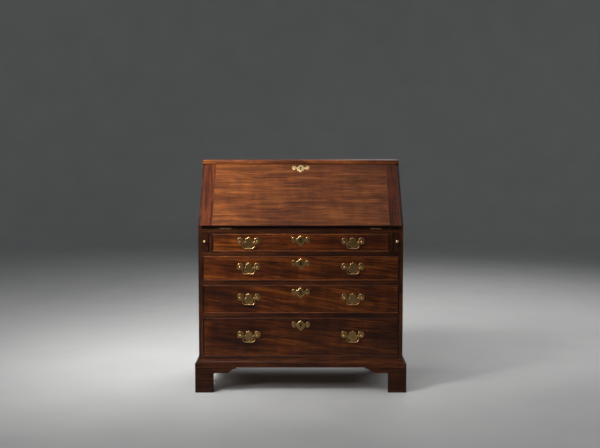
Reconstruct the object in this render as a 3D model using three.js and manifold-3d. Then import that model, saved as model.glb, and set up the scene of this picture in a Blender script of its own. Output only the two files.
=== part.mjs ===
// A slant-front writing bureau with four long drawers, in millimetres.
// X runs to the right, Y to the back and Z up. The pieces are laid out from the
// middle of the case's front at floor level, and the finished group is moved so
// that the origin lies under the middle of the whole bureau.
import * as THREE from 'three';
import { mergeVertices } from 'three/addons/utils/BufferGeometryUtils.js';
import Module from 'manifold-3d';

const wasm = await Module();
wasm.setup();

// The case
const caseWidth = 914;
const caseDepth = 500;
const caseHeight = 1040;
const topSetback = 227.2;
const deskLevel = 738;
const sideThickness = 18;
const topThickness = 18;
const deskThickness = 22.5;
const bottomThickness = 20;
const backThickness = 12;
const backRabbet = 9;
const backBoards = 5;
const boardJointWidth = 4;
const boardJointDepth = 2;
const noseHeight = 16.8;
const noseRadius = 6;
const lockRailDepth = 30;
const lockRailDrop = 4;

// Rails and dust boards between the drawers
const railThickness = 20;
const railDepth = 60;
const runnerWidth = 52;
const dustBoardInset = 6;
const stopOffsetShare = 0.45;
const stopWidth = 30;
const stopLength = 26;
const stopHeight = 4;
const loperSlotWidth = 28.6;
const partitionThickness = 16;

// Heights of the three lower drawer openings; the top one takes what is left
const bottomOpening = 176;
const thirdOpening = 128;
const secondOpening = 110;

// The foot frame with its cove moulding, and the bracket feet
const footHeight = 114;
const ledgeThickness = 27;
const ledgeWidth = 40;
const mouldingOverhang = 17;
const filletHeight = 18;
const coveHeight = 18;
const coveRun = 15;
const footWidth = 82;
const bracketThickness = 20;
const bracketLength = 185;
const bracketSoffit = 89;
const bracketArc = 8;
const bracketTip = 5;
const ogeeStart = 134;
const backBracketLength = 134;
const glueBlockWidth = 38;
const glueBlockLift = 6;

// The fall front: a panel between two end cleats, with a thumb-moulded lip. Its slope
// follows from the height and setback of the top board's front edge
const fallThickness = 22;
const coreThickness = 12;
const fallReveal = 11;
const coreGap = 1;
const cleatWidth = 51.5;
const lipReach = 10;
const lipRound = 6;
const lipStep = 1;
const fallTopGap = 0.5;
const fallHingeGap = 0.5;
const tongueLength = 8;
const tongueThickness = 6;
const tongueInset = 20;

// Gaps that let pieces seat and run
const seatGap = 0.3;
const frontGap = 1.2;
const topGap = 1.6;
const drawerSideGap = 1.5;
const overrun = 4;

// Drawers
const frontThickness = 20;
const beadWidth = 3;
const beadProud = 2.5;
const drawerSideThickness = 9;
const drawerBottomThickness = 8;
const drawerBottomLift = 6;
const drawerTopDrop = 7;
const drawerBackDrop = 8;
const drawerBackGap = 14;
const tailSpacing = 36;
const tailLap = 7;
const tailSlope = 6;
const tailShare = 0.76;
const lockPlateHalf = 30;
const lockPlateHeight = 46;
const lockPlateProud = 2;
const lockPlateDrop = 6;

// Bail handles on bat-wing plates
const handleShare = 0.53;
const handleRiseShare = 0.05;
const postSpacing = 77;
const plateThickness = 1.2;
const plateHalfWidth = 51;
const plateRise = 21;
const plateDrop = 30;
const postHeadRadius = 5.6;
const postNeckRadius = 4.2;
const postRodRadius = 2.4;
const postBoreRadius = 3;
const postProud = 15;
const bailAxisProud = 8.6;
const postRodEnd = 26;
const nutRadius = 5.6;
const nutThickness = 3.6;
const bailDrop = 29.5;
const bailRadius = 2.5;
const bailNeckRadius = 1.7;
const bailPinRadius = 1.3;
const bailBoreRadius = 1.9;
const bailPinReach = 2.2;
const bailBoreReach = 3;
const bailShoulder = 7.6;

// Keyhole plates
const keyholeDrop = 29;
const topKeyholeDrop = 26;
const fallKeyholeDrop = 24;
const escutcheonHalfWidth = 40;
const escutcheonRise = 18.5;
const escutcheonDrop = 28.5;
const keyholeRadius = 3;
const keyholeSlot = 2.8;
const keyholeLength = 10.5;

// Lopers, the pull-out bearers under the open fall
const loperWidth = 24.4;
const loperOuterGap = 0.6;
const loperBackGap = 68;
const loperTopGap = 0.4;
const loperKnobLevel = 680.5;
const loperKnobInset = 11;
const knobRadius = 7;
const knobProud = 16;
const knobNeckRadius = 3;
const knobRoseRadius = 5.2;
const knobRoseThickness = 2;
const knobStemRadius = 1.8;
const knobStemLength = 18;
const knobBoreRadius = 2.3;

// Butt hinges of the fall
const hingeInset = 59.5;
const hingeLength = 52;
const leafWidth = 24;
const leafThickness = 1.6;
const leafStart = 3.9;
const knuckleRadius = 3.2;
const knuckleClearance = 0.5;
const knuckleGap = 0.4;
const middleKnuckleLength = 17.4;
const pinRadius = 1.2;
const pinBoreRadius = 1.8;

// The lock let into the inside of the fall
const fallLockHalf = 32;
const fallLockHeight = 45;
const fallLockPlate = 2;
const fallLockBodyHalf = 26;
const fallLockBodyDepth = 10.5;
const fallLockBodyMargin = 5;

// Pigeonholes and small drawers behind the fall
const unitSetback = 3.5;
const unitBackGap = 3;
const unitPanel = 6;
const smallDrawers = 4;
const pigeonholes = 8;
const smallDrawerOpening = 66;
const partitionSweep = 38;
const partitionSweepShares = [0.22, 0.58, 0.84];
const valanceThickness = 5;
const valanceSetback = 4;
const valanceDrop = 30;
const valanceArch = 15;
const smallDrawerGap = 0.6;
const smallDrawerFront = 9;
const smallDrawerWall = 5;
const smallDrawerBackGap = 4;
const smallKnobRadius = 5;
const smallKnobProud = 11;
const smallKnobNeck = 2.2;

// How finely curves are cut
const curveSteps = 6;
const smallCurveSteps = 4;
const roundSides = 10;
const boreSides = 8;
const bailSides = 6;
const bailSteps = 18;
const plateCurveSteps = 2;
const weldDistance = 0.0005;

// Places that follow from the sizes above
const halfCase = caseWidth / 2;
const innerHalf = halfCase - sideThickness;
const backFront = caseDepth - backThickness;
const topUnderside = caseHeight - topThickness;
const deskUnderside = deskLevel - deskThickness;
const caseBottom = footHeight + ledgeThickness;
const bottomLevel = caseBottom + bottomThickness;
const outerHalf = halfCase + mouldingOverhang;
const slotHalf = innerHalf - loperSlotWidth;
const topDrawerHalf = slotHalf - partitionThickness;
const postHalf = postSpacing / 2;
const handleX = handleShare * innerHalf;
const noseRise = caseHeight - noseHeight - deskLevel;
const noseReach = Math.hypot(noseRise, topSetback);
const slope = Math.atan2(noseRise, topSetback) - Math.asin(fallThickness / noseReach);
const slopeCos = Math.cos(slope);
const slopeSin = Math.sin(slope);
const restDepth = coreThickness - seatGap;
const slopeEnd = topSetback * slopeCos + noseRise * slopeSin;
const lipEnd = slopeEnd - fallTopGap;
const coreEnd = lipEnd - lipReach;
const shoulderY = (slopeEnd - (topUnderside - deskLevel) * slopeSin) / slopeCos;
const lockRailBack = shoulderY + lockRailDepth;
const unitFront = lockRailBack + unitSetback;
const unitBack = backFront - unitBackGap;
const fallHalf = halfCase - fallReveal;
const coreHalf = innerHalf - coreGap;
const panelHalf = fallHalf - cleatWidth;
const hingeX = panelHalf - hingeInset;

// Openings of the long drawers, from the top one down
function drawerOpenings() {
  const fourth = { low: bottomLevel, high: bottomLevel + bottomOpening };
  const third = { low: fourth.high + railThickness, high: fourth.high + railThickness + thirdOpening };
  const second = { low: third.high + railThickness, high: third.high + railThickness + secondOpening };
  const first = { low: second.high + railThickness, high: deskUnderside };
  return [first, second, third, fourth].map((opening, index) => ({
    ...opening,
    number: index + 1,
    half: index === 0 ? topDrawerHalf : innerHalf,
    keyhole: opening.high - (index === 0 ? topKeyholeDrop : keyholeDrop),
    posts: (opening.low + opening.high) / 2 + handleRiseShare * (opening.high - opening.low),
  }));
}

// Finishes
const woods = {
  mahogany: { color: 0x6e3a1e, roughness: 0.38, metalness: 0 },
  lining: { color: 0x9c7a4f, roughness: 0.7, metalness: 0 },
};
const metals = {
  brass: { color: 0xb08d4c, roughness: 0.35, metalness: 1 },
  steel: { color: 0x77736c, roughness: 0.45, metalness: 1 },
};
const finishes = {};
for (const [name, look] of Object.entries({ ...woods, ...metals })) {
  finishes[name] = new THREE.MeshStandardMaterial({ name, ...look });
}

// Solids and how they are joined
function facesOutward(position, index) {
  let volume = 0;
  const [a, b, c] = [new THREE.Vector3(), new THREE.Vector3(), new THREE.Vector3()];
  for (let i = 0; i < index.length; i += 3) {
    a.fromArray(position, 3 * index[i]);
    b.fromArray(position, 3 * index[i + 1]);
    c.fromArray(position, 3 * index[i + 2]);
    volume += a.dot(b.cross(c));
  }
  return volume > 0;
}

function toSolid(geometry) {
  const bare = geometry.clone();
  bare.deleteAttribute('normal');
  bare.deleteAttribute('uv');
  const welded = mergeVertices(bare, weldDistance);
  const vertProperties = welded.attributes.position.array;
  const triVerts = new Uint32Array(welded.index.array);
  if (!facesOutward(vertProperties, triVerts)) triVerts.reverse();
  return new wasm.Manifold(new wasm.Mesh({ numProp: 3, vertProperties, triVerts }));
}

function toGeometry(solid) {
  const mesh = solid.getMesh();
  const geometry = new THREE.BufferGeometry();
  geometry.setAttribute('position', new THREE.BufferAttribute(mesh.vertProperties, 3));
  geometry.setIndex(new THREE.BufferAttribute(mesh.triVerts, 1));
  geometry.computeVertexNormals();
  return geometry;
}

function join(...solids) {
  return solids.reduce((whole, solid) => whole.add(solid));
}

function cut(solid, ...cutters) {
  return cutters.reduce((whole, cutter) => whole.subtract(cutter), solid);
}

function boxBetween(low, high) {
  const [width, depth, height] = high.map((value, axis) => value - low[axis]);
  const geometry = new THREE.BoxGeometry(width, depth, height);
  geometry.translate(...high.map((value, axis) => (value + low[axis]) / 2));
  return toSolid(geometry);
}

function toShape(points) {
  return points instanceof THREE.Shape
    ? points
    : new THREE.Shape(points.map((point) => (point.isVector2 ? point : new THREE.Vector2(...point))));
}

// A prism whose outline lies in the plane across one axis, from start to end
function prism(points, axis, start, end) {
  const geometry = new THREE.ExtrudeGeometry(toShape(points), {
    depth: end - start,
    bevelEnabled: false,
    curveSegments: curveSteps,
  });
  const right = new THREE.Vector3(1, 0, 0);
  const back = new THREE.Vector3(0, 1, 0);
  const up = new THREE.Vector3(0, 0, 1);
  const turn = new THREE.Matrix4();
  if (axis === 'x') turn.makeBasis(back, up, right).setPosition(start, 0, 0);
  if (axis === 'y') turn.makeBasis(right, up, back.negate()).setPosition(0, end, 0);
  if (axis === 'z') turn.makeBasis(right, back, up).setPosition(0, 0, start);
  geometry.applyMatrix4(turn);
  return toSolid(geometry);
}

// A solid turned about the Y direction from [radius, y] points
function turned(points, x, z, sides = roundSides) {
  const geometry = new THREE.LatheGeometry(points.map((point) => new THREE.Vector2(...point)), sides);
  geometry.translate(x, 0, z);
  return toSolid(geometry);
}

function rod(axis, radius, start, end, across, sides = boreSides) {
  const geometry = new THREE.CylinderGeometry(radius, radius, end - start, sides);
  const middle = (start + end) / 2;
  if (axis === 'x') geometry.rotateZ(Math.PI / 2).translate(middle, ...across);
  if (axis === 'y') geometry.translate(across[0], middle, across[1]);
  return toSolid(geometry);
}

// A skin through rings of points, closed by a flat cap at each end
function loft(rings, capFaces) {
  const count = rings[0].length;
  const last = (rings.length - 1) * count;
  const fan = Array.from({ length: count - 2 }, (_, i) => [0, i + 1, i + 2]);
  const faces = [];
  for (let ring = 0; ring < rings.length - 1; ring++) {
    for (let i = 0; i < count; i++) {
      const near = ring * count + i;
      const next = ring * count + ((i + 1) % count);
      faces.push(near, next, next + count, near, next + count, near + count);
    }
  }
  for (const [a, b, c] of capFaces ?? fan) faces.push(c, b, a, last + a, last + b, last + c);
  const geometry = new THREE.BufferGeometry();
  geometry.setAttribute('position', new THREE.Float32BufferAttribute(rings.flat(2), 3));
  geometry.setIndex(faces);
  return toSolid(geometry);
}

// The object's tree: every piece is a named mesh on its body's group
const bureau = new THREE.Group();

function place(name, solid, finish, group = bureau) {
  const mesh = new THREE.Mesh(toGeometry(solid), finishes[finish]);
  mesh.name = name;
  group.add(mesh);
}

// A place on the slope, by its distance up the slope and out from it, as [y, z]
function onSlope(along, out) {
  return [along * slopeCos - out * slopeSin, deskLevel + along * slopeSin + out * slopeCos];
}

// Case sides, with the sloped front edge that the fall's lip lies on
function caseSide(side) {
  const outline = [
    [0, caseBottom],
    [0, deskLevel + restDepth / slopeCos],
    onSlope(slopeEnd, restDepth),
    [shoulderY, topUnderside],
    [caseDepth, topUnderside],
    [caseDepth, caseBottom],
  ];
  const [low, high] = side < 0 ? [-halfCase, -innerHalf] : [innerHalf, halfCase];
  const rabbetEdge = innerHalf + backRabbet;
  const rabbet = boxBetween(
    [side < 0 ? -rabbetEdge : innerHalf - overrun, backFront, caseBottom - overrun],
    [side < 0 ? overrun - innerHalf : rabbetEdge, caseDepth + overrun, topUnderside + overrun],
  );
  return cut(prism(outline, 'x', low, high), rabbet);
}

// Top board, its rounded front edge flush with the fall, and the lock rail under it
function topBoard() {
  const [noseY, noseZ] = onSlope(slopeEnd, fallThickness);
  const board = new THREE.Shape();
  board.moveTo(noseY, noseZ);
  board.lineTo(noseY, caseHeight - noseRadius);
  board.absarc(noseY + noseRadius, caseHeight - noseRadius, noseRadius, Math.PI, Math.PI / 2, true);
  board.lineTo(caseDepth, caseHeight);
  board.lineTo(caseDepth, topUnderside);
  board.lineTo(shoulderY, topUnderside);
  const coreStop = coreEnd + fallTopGap;
  const lowEdge = onSlope(coreStop, -lockRailDrop);
  const rail = [
    [noseY, noseZ],
    [shoulderY, topUnderside],
    onSlope(slopeEnd, restDepth),
    onSlope(coreStop, restDepth),
    lowEdge,
    [lockRailBack, lowEdge[1]],
    [lockRailBack, caseHeight - noseRadius],
    [noseY + noseRadius, caseHeight - noseRadius],
  ];
  return join(prism(board, 'x', -halfCase, halfCase), prism(rail, 'x', -innerHalf, innerHalf));
}

// Back of upright boards, with a V joint between each two
function backPanel() {
  const half = innerHalf + backRabbet;
  const boardWidth = (2 * half) / backBoards;
  const outline = [[half, backFront], [half, caseDepth]];
  for (let joint = backBoards - 1; joint > 0; joint--) {
    const x = joint * boardWidth - half;
    outline.push([x + boardJointWidth / 2, caseDepth], [x, caseDepth - boardJointDepth]);
    outline.push([x - boardJointWidth / 2, caseDepth]);
  }
  outline.push([-half, caseDepth], [-half, backFront]);
  return prism(outline, 'z', caseBottom, topUnderside);
}

// Room for a hinge's leaf and knuckle, in the plane of the leaf
function hingeRoom(x, leafLow, leafHigh, axisLevel) {
  const half = hingeLength / 2 + seatGap;
  const leaf = boxBetween([x - half, -overrun, leafLow], [x + half, leafWidth + seatGap, leafHigh]);
  const knuckle = rod('x', knuckleRadius + knuckleClearance, x - half, x + half, [0, axisLevel], roundSides);
  return join(leaf, knuckle);
}

function deskBoard() {
  const board = boxBetween([-innerHalf, 0, deskUnderside], [innerHalf, backFront, deskLevel]);
  const recess = deskLevel - leafThickness - seatGap;
  const rooms = [-hingeX, hingeX].map(
    (x) => hingeRoom(x, recess, deskLevel + overrun, deskLevel));
  return cut(board, ...rooms);
}

// Two small blocks on a rail that stop a drawer's front as it closes
function drawerStops(level) {
  const near = frontThickness + seatGap;
  const [far, half] = [near + stopLength, stopWidth / 2];
  return [-1, 1].map((side) => {
    const x = side * stopOffsetShare * innerHalf;
    return boxBetween([x - half, near, level - stopHeight], [x + half, far, level + stopHeight]);
  });
}

// A front rail, runners and a back rail around a thinner dust board
function divider(level) {
  const slab = boxBetween([-innerHalf, 0, level], [innerHalf, backFront, level + railThickness]);
  const half = innerHalf - runnerWidth;
  const pocketBack = backFront - railDepth;
  const [under, over] = [level + dustBoardInset, level + railThickness - dustBoardInset];
  const above = boxBetween([-half, railDepth, over], [half, pocketBack, level + railThickness + overrun]);
  const below = boxBetween([-half, railDepth, level - overrun], [half, pocketBack, under]);
  return join(cut(slab, above, below), ...drawerStops(level + railThickness));
}

// The upper divider carries the two upright partitions beside the top drawer
function upperDivider(level) {
  const base = level + railThickness;
  const sunk = railThickness / 2;
  const partitions = [-1, 1].map((side) => {
    const [low, high] = side < 0 ? [-slotHalf, -topDrawerHalf] : [topDrawerHalf, slotHalf];
    return boxBetween([low, 0, base - sunk], [high, backFront, deskUnderside]);
  });
  return join(divider(level), ...partitions);
}

// Foot frame: a cove-moulded front and sides mitred at the corners, and a back rail
function footFrame() {
  const mouldingTop = footHeight + filletHeight + coveHeight;
  const profile = [[-ledgeWidth, footHeight], [mouldingOverhang, footHeight]];
  for (let step = 0; step <= curveSteps; step++) {
    const turn = (step / curveSteps) * (Math.PI / 2);
    profile.push([mouldingOverhang - coveRun * Math.sin(turn), mouldingTop - coveHeight * Math.cos(turn)]);
  }
  profile.push([0, mouldingTop], [0, caseBottom], [-ledgeWidth, caseBottom]);
  const corners = [
    (out) => [-halfCase - out, caseDepth],
    (out) => [-halfCase - out, -out],
    (out) => [halfCase + out, -out],
    (out) => [halfCase + out, caseDepth],
  ];
  const rings = corners.map((corner) => profile.map(([out, z]) => [...corner(out), z]));
  const caps = THREE.ShapeUtils.triangulateShape(profile.map((point) => new THREE.Vector2(...point)), []);
  const half = halfCase - ledgeWidth / 2;
  const backRail = boxBetween([-half, caseDepth - ledgeWidth, footHeight], [half, caseDepth, caseBottom]);
  return join(loft(rings, caps), backRail);
}

// Outline of a shaped bracket, from the outer corner of the foot inwards
function bracketOutline() {
  const shape = new THREE.Shape();
  const run = bracketLength - ogeeStart;
  shape.moveTo(0, 0);
  shape.lineTo(footWidth, 0);
  shape.lineTo(footWidth, bracketSoffit - bracketArc);
  shape.absarc(footWidth + bracketArc, bracketSoffit - bracketArc, bracketArc, Math.PI, Math.PI / 2, true);
  shape.lineTo(ogeeStart, bracketSoffit);
  shape.bezierCurveTo(
    ogeeStart + 0.6 * run, bracketSoffit,
    ogeeStart + 0.45 * run, footHeight - bracketTip,
    bracketLength, footHeight - bracketTip,
  );
  shape.lineTo(bracketLength, footHeight);
  shape.lineTo(0, footHeight);
  return shape.getPoints(curveSteps);
}

// A corner foot: a bracket along the side, one along the front or back, a glue block
function foot(side, atBack) {
  const across = (s) => side * (outerHalf - s);
  const along = (s) => (atBack ? caseDepth - s : s - mouldingOverhang);
  const span = (place, near, far) => [place(near), place(far)].sort((a, b) => a - b);
  const shaped = bracketOutline();
  const plain = [
    new THREE.Vector2(0, 0),
    new THREE.Vector2(footWidth, 0),
    new THREE.Vector2(backBracketLength, footHeight - bracketTip),
    new THREE.Vector2(backBracketLength, footHeight),
    new THREE.Vector2(0, footHeight),
  ];
  const facing = (atBack ? plain : shaped).map((point) => [across(point.x), point.y]);
  const flank = shaped.map((point) => [along(point.x), point.y]);
  const blockEnd = bracketThickness + glueBlockWidth;
  const [blockX, blockY] = [span(across, 0, blockEnd), span(along, 0, blockEnd)];
  return join(
    prism(facing, 'y', ...span(along, 0, bracketThickness)),
    prism(flank, 'x', ...span(across, 0, bracketThickness)),
    boxBetween([blockX[0], blockY[0], glueBlockLift], [blockX[1], blockY[1], footHeight]),
  );
}

function makeCase(openings) {
  place('side_left', caseSide(-1), 'mahogany');
  place('side_right', caseSide(1), 'mahogany');
  place('top_board', topBoard(), 'mahogany');
  place('back_panel', backPanel(), 'lining');
  const bottom = boxBetween([-innerHalf, 0, caseBottom], [innerHalf, backFront, bottomLevel]);
  place('bottom_board', join(bottom, ...drawerStops(bottomLevel)), 'mahogany');
  place('desk_board', deskBoard(), 'mahogany');
  place('drawer_divider_upper', upperDivider(openings[1].high), 'mahogany');
  place('drawer_divider_middle', divider(openings[2].high), 'mahogany');
  place('drawer_divider_lower', divider(openings[3].high), 'mahogany');
  place('base_moulding', footFrame(), 'mahogany');
  for (const [end, atBack] of [['front', false], ['back', true]]) {
    place(`foot_${end}_left`, foot(-1, atBack), 'mahogany');
    place(`foot_${end}_right`, foot(1, atBack), 'mahogany');
  }
}

// Half outlines of the bat-wing plates, a pointed shield between two round wings:
// control and end points of their curves, as shares of the half width and of the
// height above or below the centre line
const escutcheonShares = [
  [0.04, 0.86, 0.12, 0.74],
  [0.30, 0.46, 0.42, 0.18],
  [0.50, 0.04, 0.56, 0.12],
  [0.58, 0.58, 0.78, 0.58],
  [1.00, 0.58, 1.00, 0.04],
  [1.00, -0.28, 0.90, -0.38],
  [0.84, -0.56, 0.72, -0.52],
  [0.62, -0.46, 0.60, -0.26],
  [0.54, -0.18, 0.49, -0.26],
  [0.45, -0.58, 0.20, -0.76],
  [0.14, -0.80, 0.14, -0.87],
  [0.13, -1.00, 0.00, -1.00],
];
const backplateShares = [
  [0.03, 0.86, 0.12, 0.78],
  [0.24, 0.76, 0.27, 0.55],
  [0.30, 0.30, 0.27, 0.08],
  [0.27, -0.02, 0.36, -0.02],
  [0.46, -0.02, 0.475, 0.16],
  [0.475, 0.85, 0.745, 0.85],
  [1.00, 0.85, 1.00, 0.16],
  [1.00, -0.37, 0.75, -0.37],
  [0.62, -0.37, 0.53, -0.22],
  [0.49, -0.16, 0.43, -0.21],
  [0.38, -0.26, 0.395, -0.42],
  [0.40, -0.62, 0.31, -0.72],
  [0.24, -0.80, 0.12, -0.86],
  [0.05, -0.90, 0.00, -1.00],
];

function batwing(shares, halfWidth, rise, drop) {
  const level = (share) => share * (share > 0 ? rise : drop);
  const half = new THREE.Path();
  half.moveTo(0, rise);
  for (const [controlX, controlZ, endX, endZ] of shares) {
    half.quadraticCurveTo(controlX * halfWidth, level(controlZ), endX * halfWidth, level(endZ));
  }
  const right = half.getPoints(plateCurveSteps);
  const left = right.slice(1, -1).reverse().map((point) => new THREE.Vector2(-point.x, point.y));
  return [...right, ...left];
}

function keyhole() {
  const half = keyholeSlot / 2;
  const turn = Math.asin(half / keyholeRadius);
  const shape = new THREE.Shape();
  shape.moveTo(half, -keyholeLength);
  shape.absarc(0, 0, keyholeRadius, turn - Math.PI / 2, 1.5 * Math.PI - turn, false);
  shape.lineTo(-half, -keyholeLength);
  return shape.getPoints(smallCurveSteps);
}

function moved(points, x, z) {
  return points.map((point) => [point.x + x, point.y + z]);
}

function escutcheon(level) {
  const outline = batwing(escutcheonShares, escutcheonHalfWidth, escutcheonRise, escutcheonDrop);
  const plate = prism(moved(outline, 0, level), 'y', -plateThickness, 0);
  return cut(plate, prism(moved(keyhole(), 0, level), 'y', -plateThickness - overrun, overrun));
}

// A handle post: a domed head that holds the bail, and a threaded rod with its nut
function post(x, z, inward) {
  const nutFace = frontThickness + seatGap;
  const profile = [
    [0, -postProud],
    [0.62 * postHeadRadius, 0.15 * postHeadRadius - postProud],
    [postHeadRadius, -bailAxisProud - 0.4 * postHeadRadius],
    [postHeadRadius, -bailAxisProud + 0.4 * postHeadRadius],
    [postNeckRadius, -bailAxisProud + 0.8 * postHeadRadius],
    [postNeckRadius, -plateThickness / 2],
    [postRodRadius, -plateThickness / 2],
    [postRodRadius, nutFace],
    [nutRadius, nutFace],
    [nutRadius, nutFace + nutThickness],
    [postRodRadius, nutFace + nutThickness],
    [postRodRadius, postRodEnd],
    [0, postRodEnd],
  ];
  const ends = [x + inward * (postHeadRadius + overrun), x - inward * bailBoreReach];
  const [low, high] = ends.sort((a, b) => a - b);
  return cut(turned(profile, x, z, boreSides), rod('x', bailBoreRadius, low, high, [-bailAxisProud, z]));
}

function handlePlate(x, z) {
  const outline = batwing(backplateShares, plateHalfWidth, plateRise, plateDrop);
  return join(
    prism(moved(outline, x, z), 'y', -plateThickness, 0),
    post(x - postHalf, z, 1),
    post(x + postHalf, z, -1),
  );
}

// Centre line of the bail's right half, from the neck to the middle of the grip, as
// shares of half the post spacing and of the drop
const bailShares = [
  [0.740, -0.03],
  [0.665, -0.16],
  [0.645, -0.33],
  [0.700, -0.56],
  [0.665, -0.76],
  [0.530, -0.94],
  [0.330, -1.00],
];

// A swan-neck bail with a pin at each end, hanging from the posts
function bail(x, z) {
  const right = bailShares.map(([across, down]) => new THREE.Vector3(across * postHalf, 0, down * bailDrop));
  const left = right.map((point) => new THREE.Vector3(-point.x, 0, point.z)).reverse();
  const neckTop = new THREE.Vector3(postHalf - bailShoulder, 0, 0);
  const grip = new THREE.CatmullRomCurve3([
    neckTop, ...right, new THREE.Vector3(0, 0, -bailDrop), ...left, neckTop.clone().setX(-neckTop.x)]);
  const pinEnd = new THREE.Vector3(postHalf + bailPinReach, 0, 0);
  const pinRoot = new THREE.Vector3(postHalf - postHeadRadius, 0, 0);
  const centres = [pinEnd, pinRoot, ...grip.getSpacedPoints(bailSteps)];
  centres.push(pinRoot.clone().setX(-pinRoot.x), pinEnd.clone().setX(-pinEnd.x));
  const rings = centres.map((centre, index) => {
    const before = centres[Math.max(index - 1, 0)];
    const after = centres[Math.min(index + 1, centres.length - 1)];
    const tangent = after.clone().sub(before).normalize();
    const across = new THREE.Vector3(0, 1, 0).cross(tangent);
    const depth = -centre.z / bailDrop;
    const thick = bailNeckRadius + (bailRadius - bailNeckRadius) * depth;
    const onPin = index < 2 || index > centres.length - 3;
    const radius = onPin ? bailPinRadius : thick;
    return Array.from({ length: bailSides }, (_, side) => {
      const turn = (2 * Math.PI * side) / bailSides;
      const point = centre.clone().addScaledVector(across, radius * Math.cos(turn));
      return [point.x + x, radius * Math.sin(turn) - bailAxisProud, point.z + z];
    });
  });
  return loft(rings);
}

// Lapped dovetails at a drawer's front corners: tails on the sides, or with a growth
// the sockets that they sit in
function dovetails(opening, growth) {
  const [low, high] = boxLevels(opening);
  const count = Math.max(2, Math.round((high - low) / tailSpacing));
  const pitch = (high - low) / count;
  const outer = opening.half - (growth > 0 ? -overrun : drawerSideGap);
  const inner = opening.half - drawerSideGap - drawerSideThickness - growth;
  const [tip, root] = [tailLap + seatGap - growth, frontThickness + overrun];
  const half = (y) => (tailShare * pitch) / 2 + growth - (y - tailLap - seatGap) / tailSlope;
  const tails = [];
  for (let tail = 0; tail < count; tail++) {
    const middle = low + (tail + 0.5) * pitch;
    const outline = [
      [tip, middle - half(tip)], [root, middle - half(root)],
      [root, middle + half(root)], [tip, middle + half(tip)],
    ];
    tails.push(prism(outline, 'x', inner, outer), prism(outline, 'x', -outer, -inner));
  }
  return tails;
}

// A drawer front with its cock bead, as rings of corners from the back to the face
function drawerFront(opening) {
  const half = opening.half - frontGap;
  const [low, high] = [opening.low + frontGap, opening.high - topGap];
  const beadRadius = beadWidth / 2;
  const steps = [[0, frontThickness]];
  for (let step = 0; step <= curveSteps; step++) {
    const turn = (step / curveSteps) * Math.PI;
    const [across, out] = [beadRadius * Math.cos(turn), beadRadius * Math.sin(turn)];
    steps.push([beadRadius - across, beadRadius - beadProud - out]);
  }
  steps.push([beadWidth, 0]);
  const rings = steps.map(([inset, y]) => [
    [inset - half, y, low + inset],
    [half - inset, y, low + inset],
    [half - inset, y, high - inset],
    [inset - half, y, high - inset],
  ]);
  const lockTop = high - lockPlateDrop;
  const lockPlate = boxBetween(
    [-lockPlateHalf, frontThickness / 2, lockTop - lockPlateHeight],
    [lockPlateHalf, frontThickness + lockPlateProud, lockTop],
  );
  const bores = [-handleX, handleX].flatMap((x) => [x - postHalf, x + postHalf]).map(
    (x) => rod('y', postBoreRadius, -overrun, frontThickness + overrun, [x, opening.posts]));
  const keyBore = prism(moved(keyhole(), 0, opening.keyhole), 'y', -overrun, frontThickness + overrun);
  return cut(join(loft(rings), lockPlate), keyBore, ...bores, ...dovetails(opening, seatGap));
}

function boxLevels(opening) {
  return [opening.low + seatGap, opening.high - drawerTopDrop];
}

// Sides, back and bottom of a drawer
function drawerBox(opening) {
  const half = opening.half - drawerSideGap;
  const [low, high] = boxLevels(opening);
  const [front, back] = [frontThickness + seatGap, backFront - drawerBackGap];
  const inner = half - drawerSideThickness;
  const innerBack = back - drawerSideThickness;
  const floor = low + drawerBottomLift;
  const block = boxBetween([-half, front, low], [half, back, high]);
  const hollow = boxBetween(
    [-inner, front - overrun, floor + drawerBottomThickness], [inner, innerBack, high + overrun]);
  const under = boxBetween([-inner, front - overrun, low - overrun], [inner, innerBack, floor]);
  const backTop = boxBetween(
    [-inner, front - overrun, high - drawerBackDrop], [inner, back + overrun, high + overrun]);
  return join(cut(block, hollow, under, backTop), ...dovetails(opening, 0));
}

function makeDrawer(opening) {
  const name = `drawer_${opening.number}`;
  place(`${name}_front`, drawerFront(opening), 'mahogany');
  place(`${name}_box`, drawerBox(opening), 'lining');
  place(`${name}_escutcheon`, escutcheon(opening.keyhole), 'brass');
  for (const [end, x] of [['left', -handleX], ['right', handleX]]) {
    place(`${name}_backplate_${end}`, handlePlate(x, opening.posts), 'brass');
    place(`${name}_bail_${end}`, bail(x, opening.posts), 'brass');
  }
}

// A turned knob with its rose, and a stem that goes into the wood
function knob(x, z, radius, proud, neck, rose, stem) {
  const base = proud - 2 * radius;
  const profile = [[0, -proud]];
  for (let step = 1; step < curveSteps; step++) {
    const turn = (step / curveSteps) * Math.PI;
    if (radius * Math.sin(turn) < neck && turn > Math.PI / 2) continue;
    profile.push([radius * Math.sin(turn), -base - radius - radius * Math.cos(turn)]);
  }
  profile.push([neck, -base], [neck, -rose.thickness]);
  profile.push([rose.radius, -rose.thickness], [rose.radius, 0], [stem.radius, 0]);
  profile.push([stem.radius, stem.length], [0, stem.length]);
  return turned(profile, x, z);
}

function makeLoper(side) {
  const name = side < 0 ? 'left' : 'right';
  const middle = side * (innerHalf - loperOuterGap - loperWidth / 2);
  const rest = deskUnderside - loperTopGap;
  const low = upperDividerTop + seatGap;
  const bar = boxBetween(
    [middle - loperWidth / 2, 0, low],
    [middle + loperWidth / 2, backFront - loperBackGap, rest],
  );
  const knobX = side * (innerHalf - loperKnobInset);
  const stem = { radius: knobStemRadius, length: knobStemLength };
  const rose = { radius: knobRoseRadius, thickness: knobRoseThickness };
  const bore = rod('y', knobBoreRadius, -overrun, knobStemLength + seatGap, [knobX, loperKnobLevel]);
  place(`loper_${name}`, cut(bar, bore), 'mahogany');
  place(`loper_knob_${name}`, knob(
    knobX, loperKnobLevel, knobRadius, knobProud, knobNeckRadius, rose, stem), 'brass');
}

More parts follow.
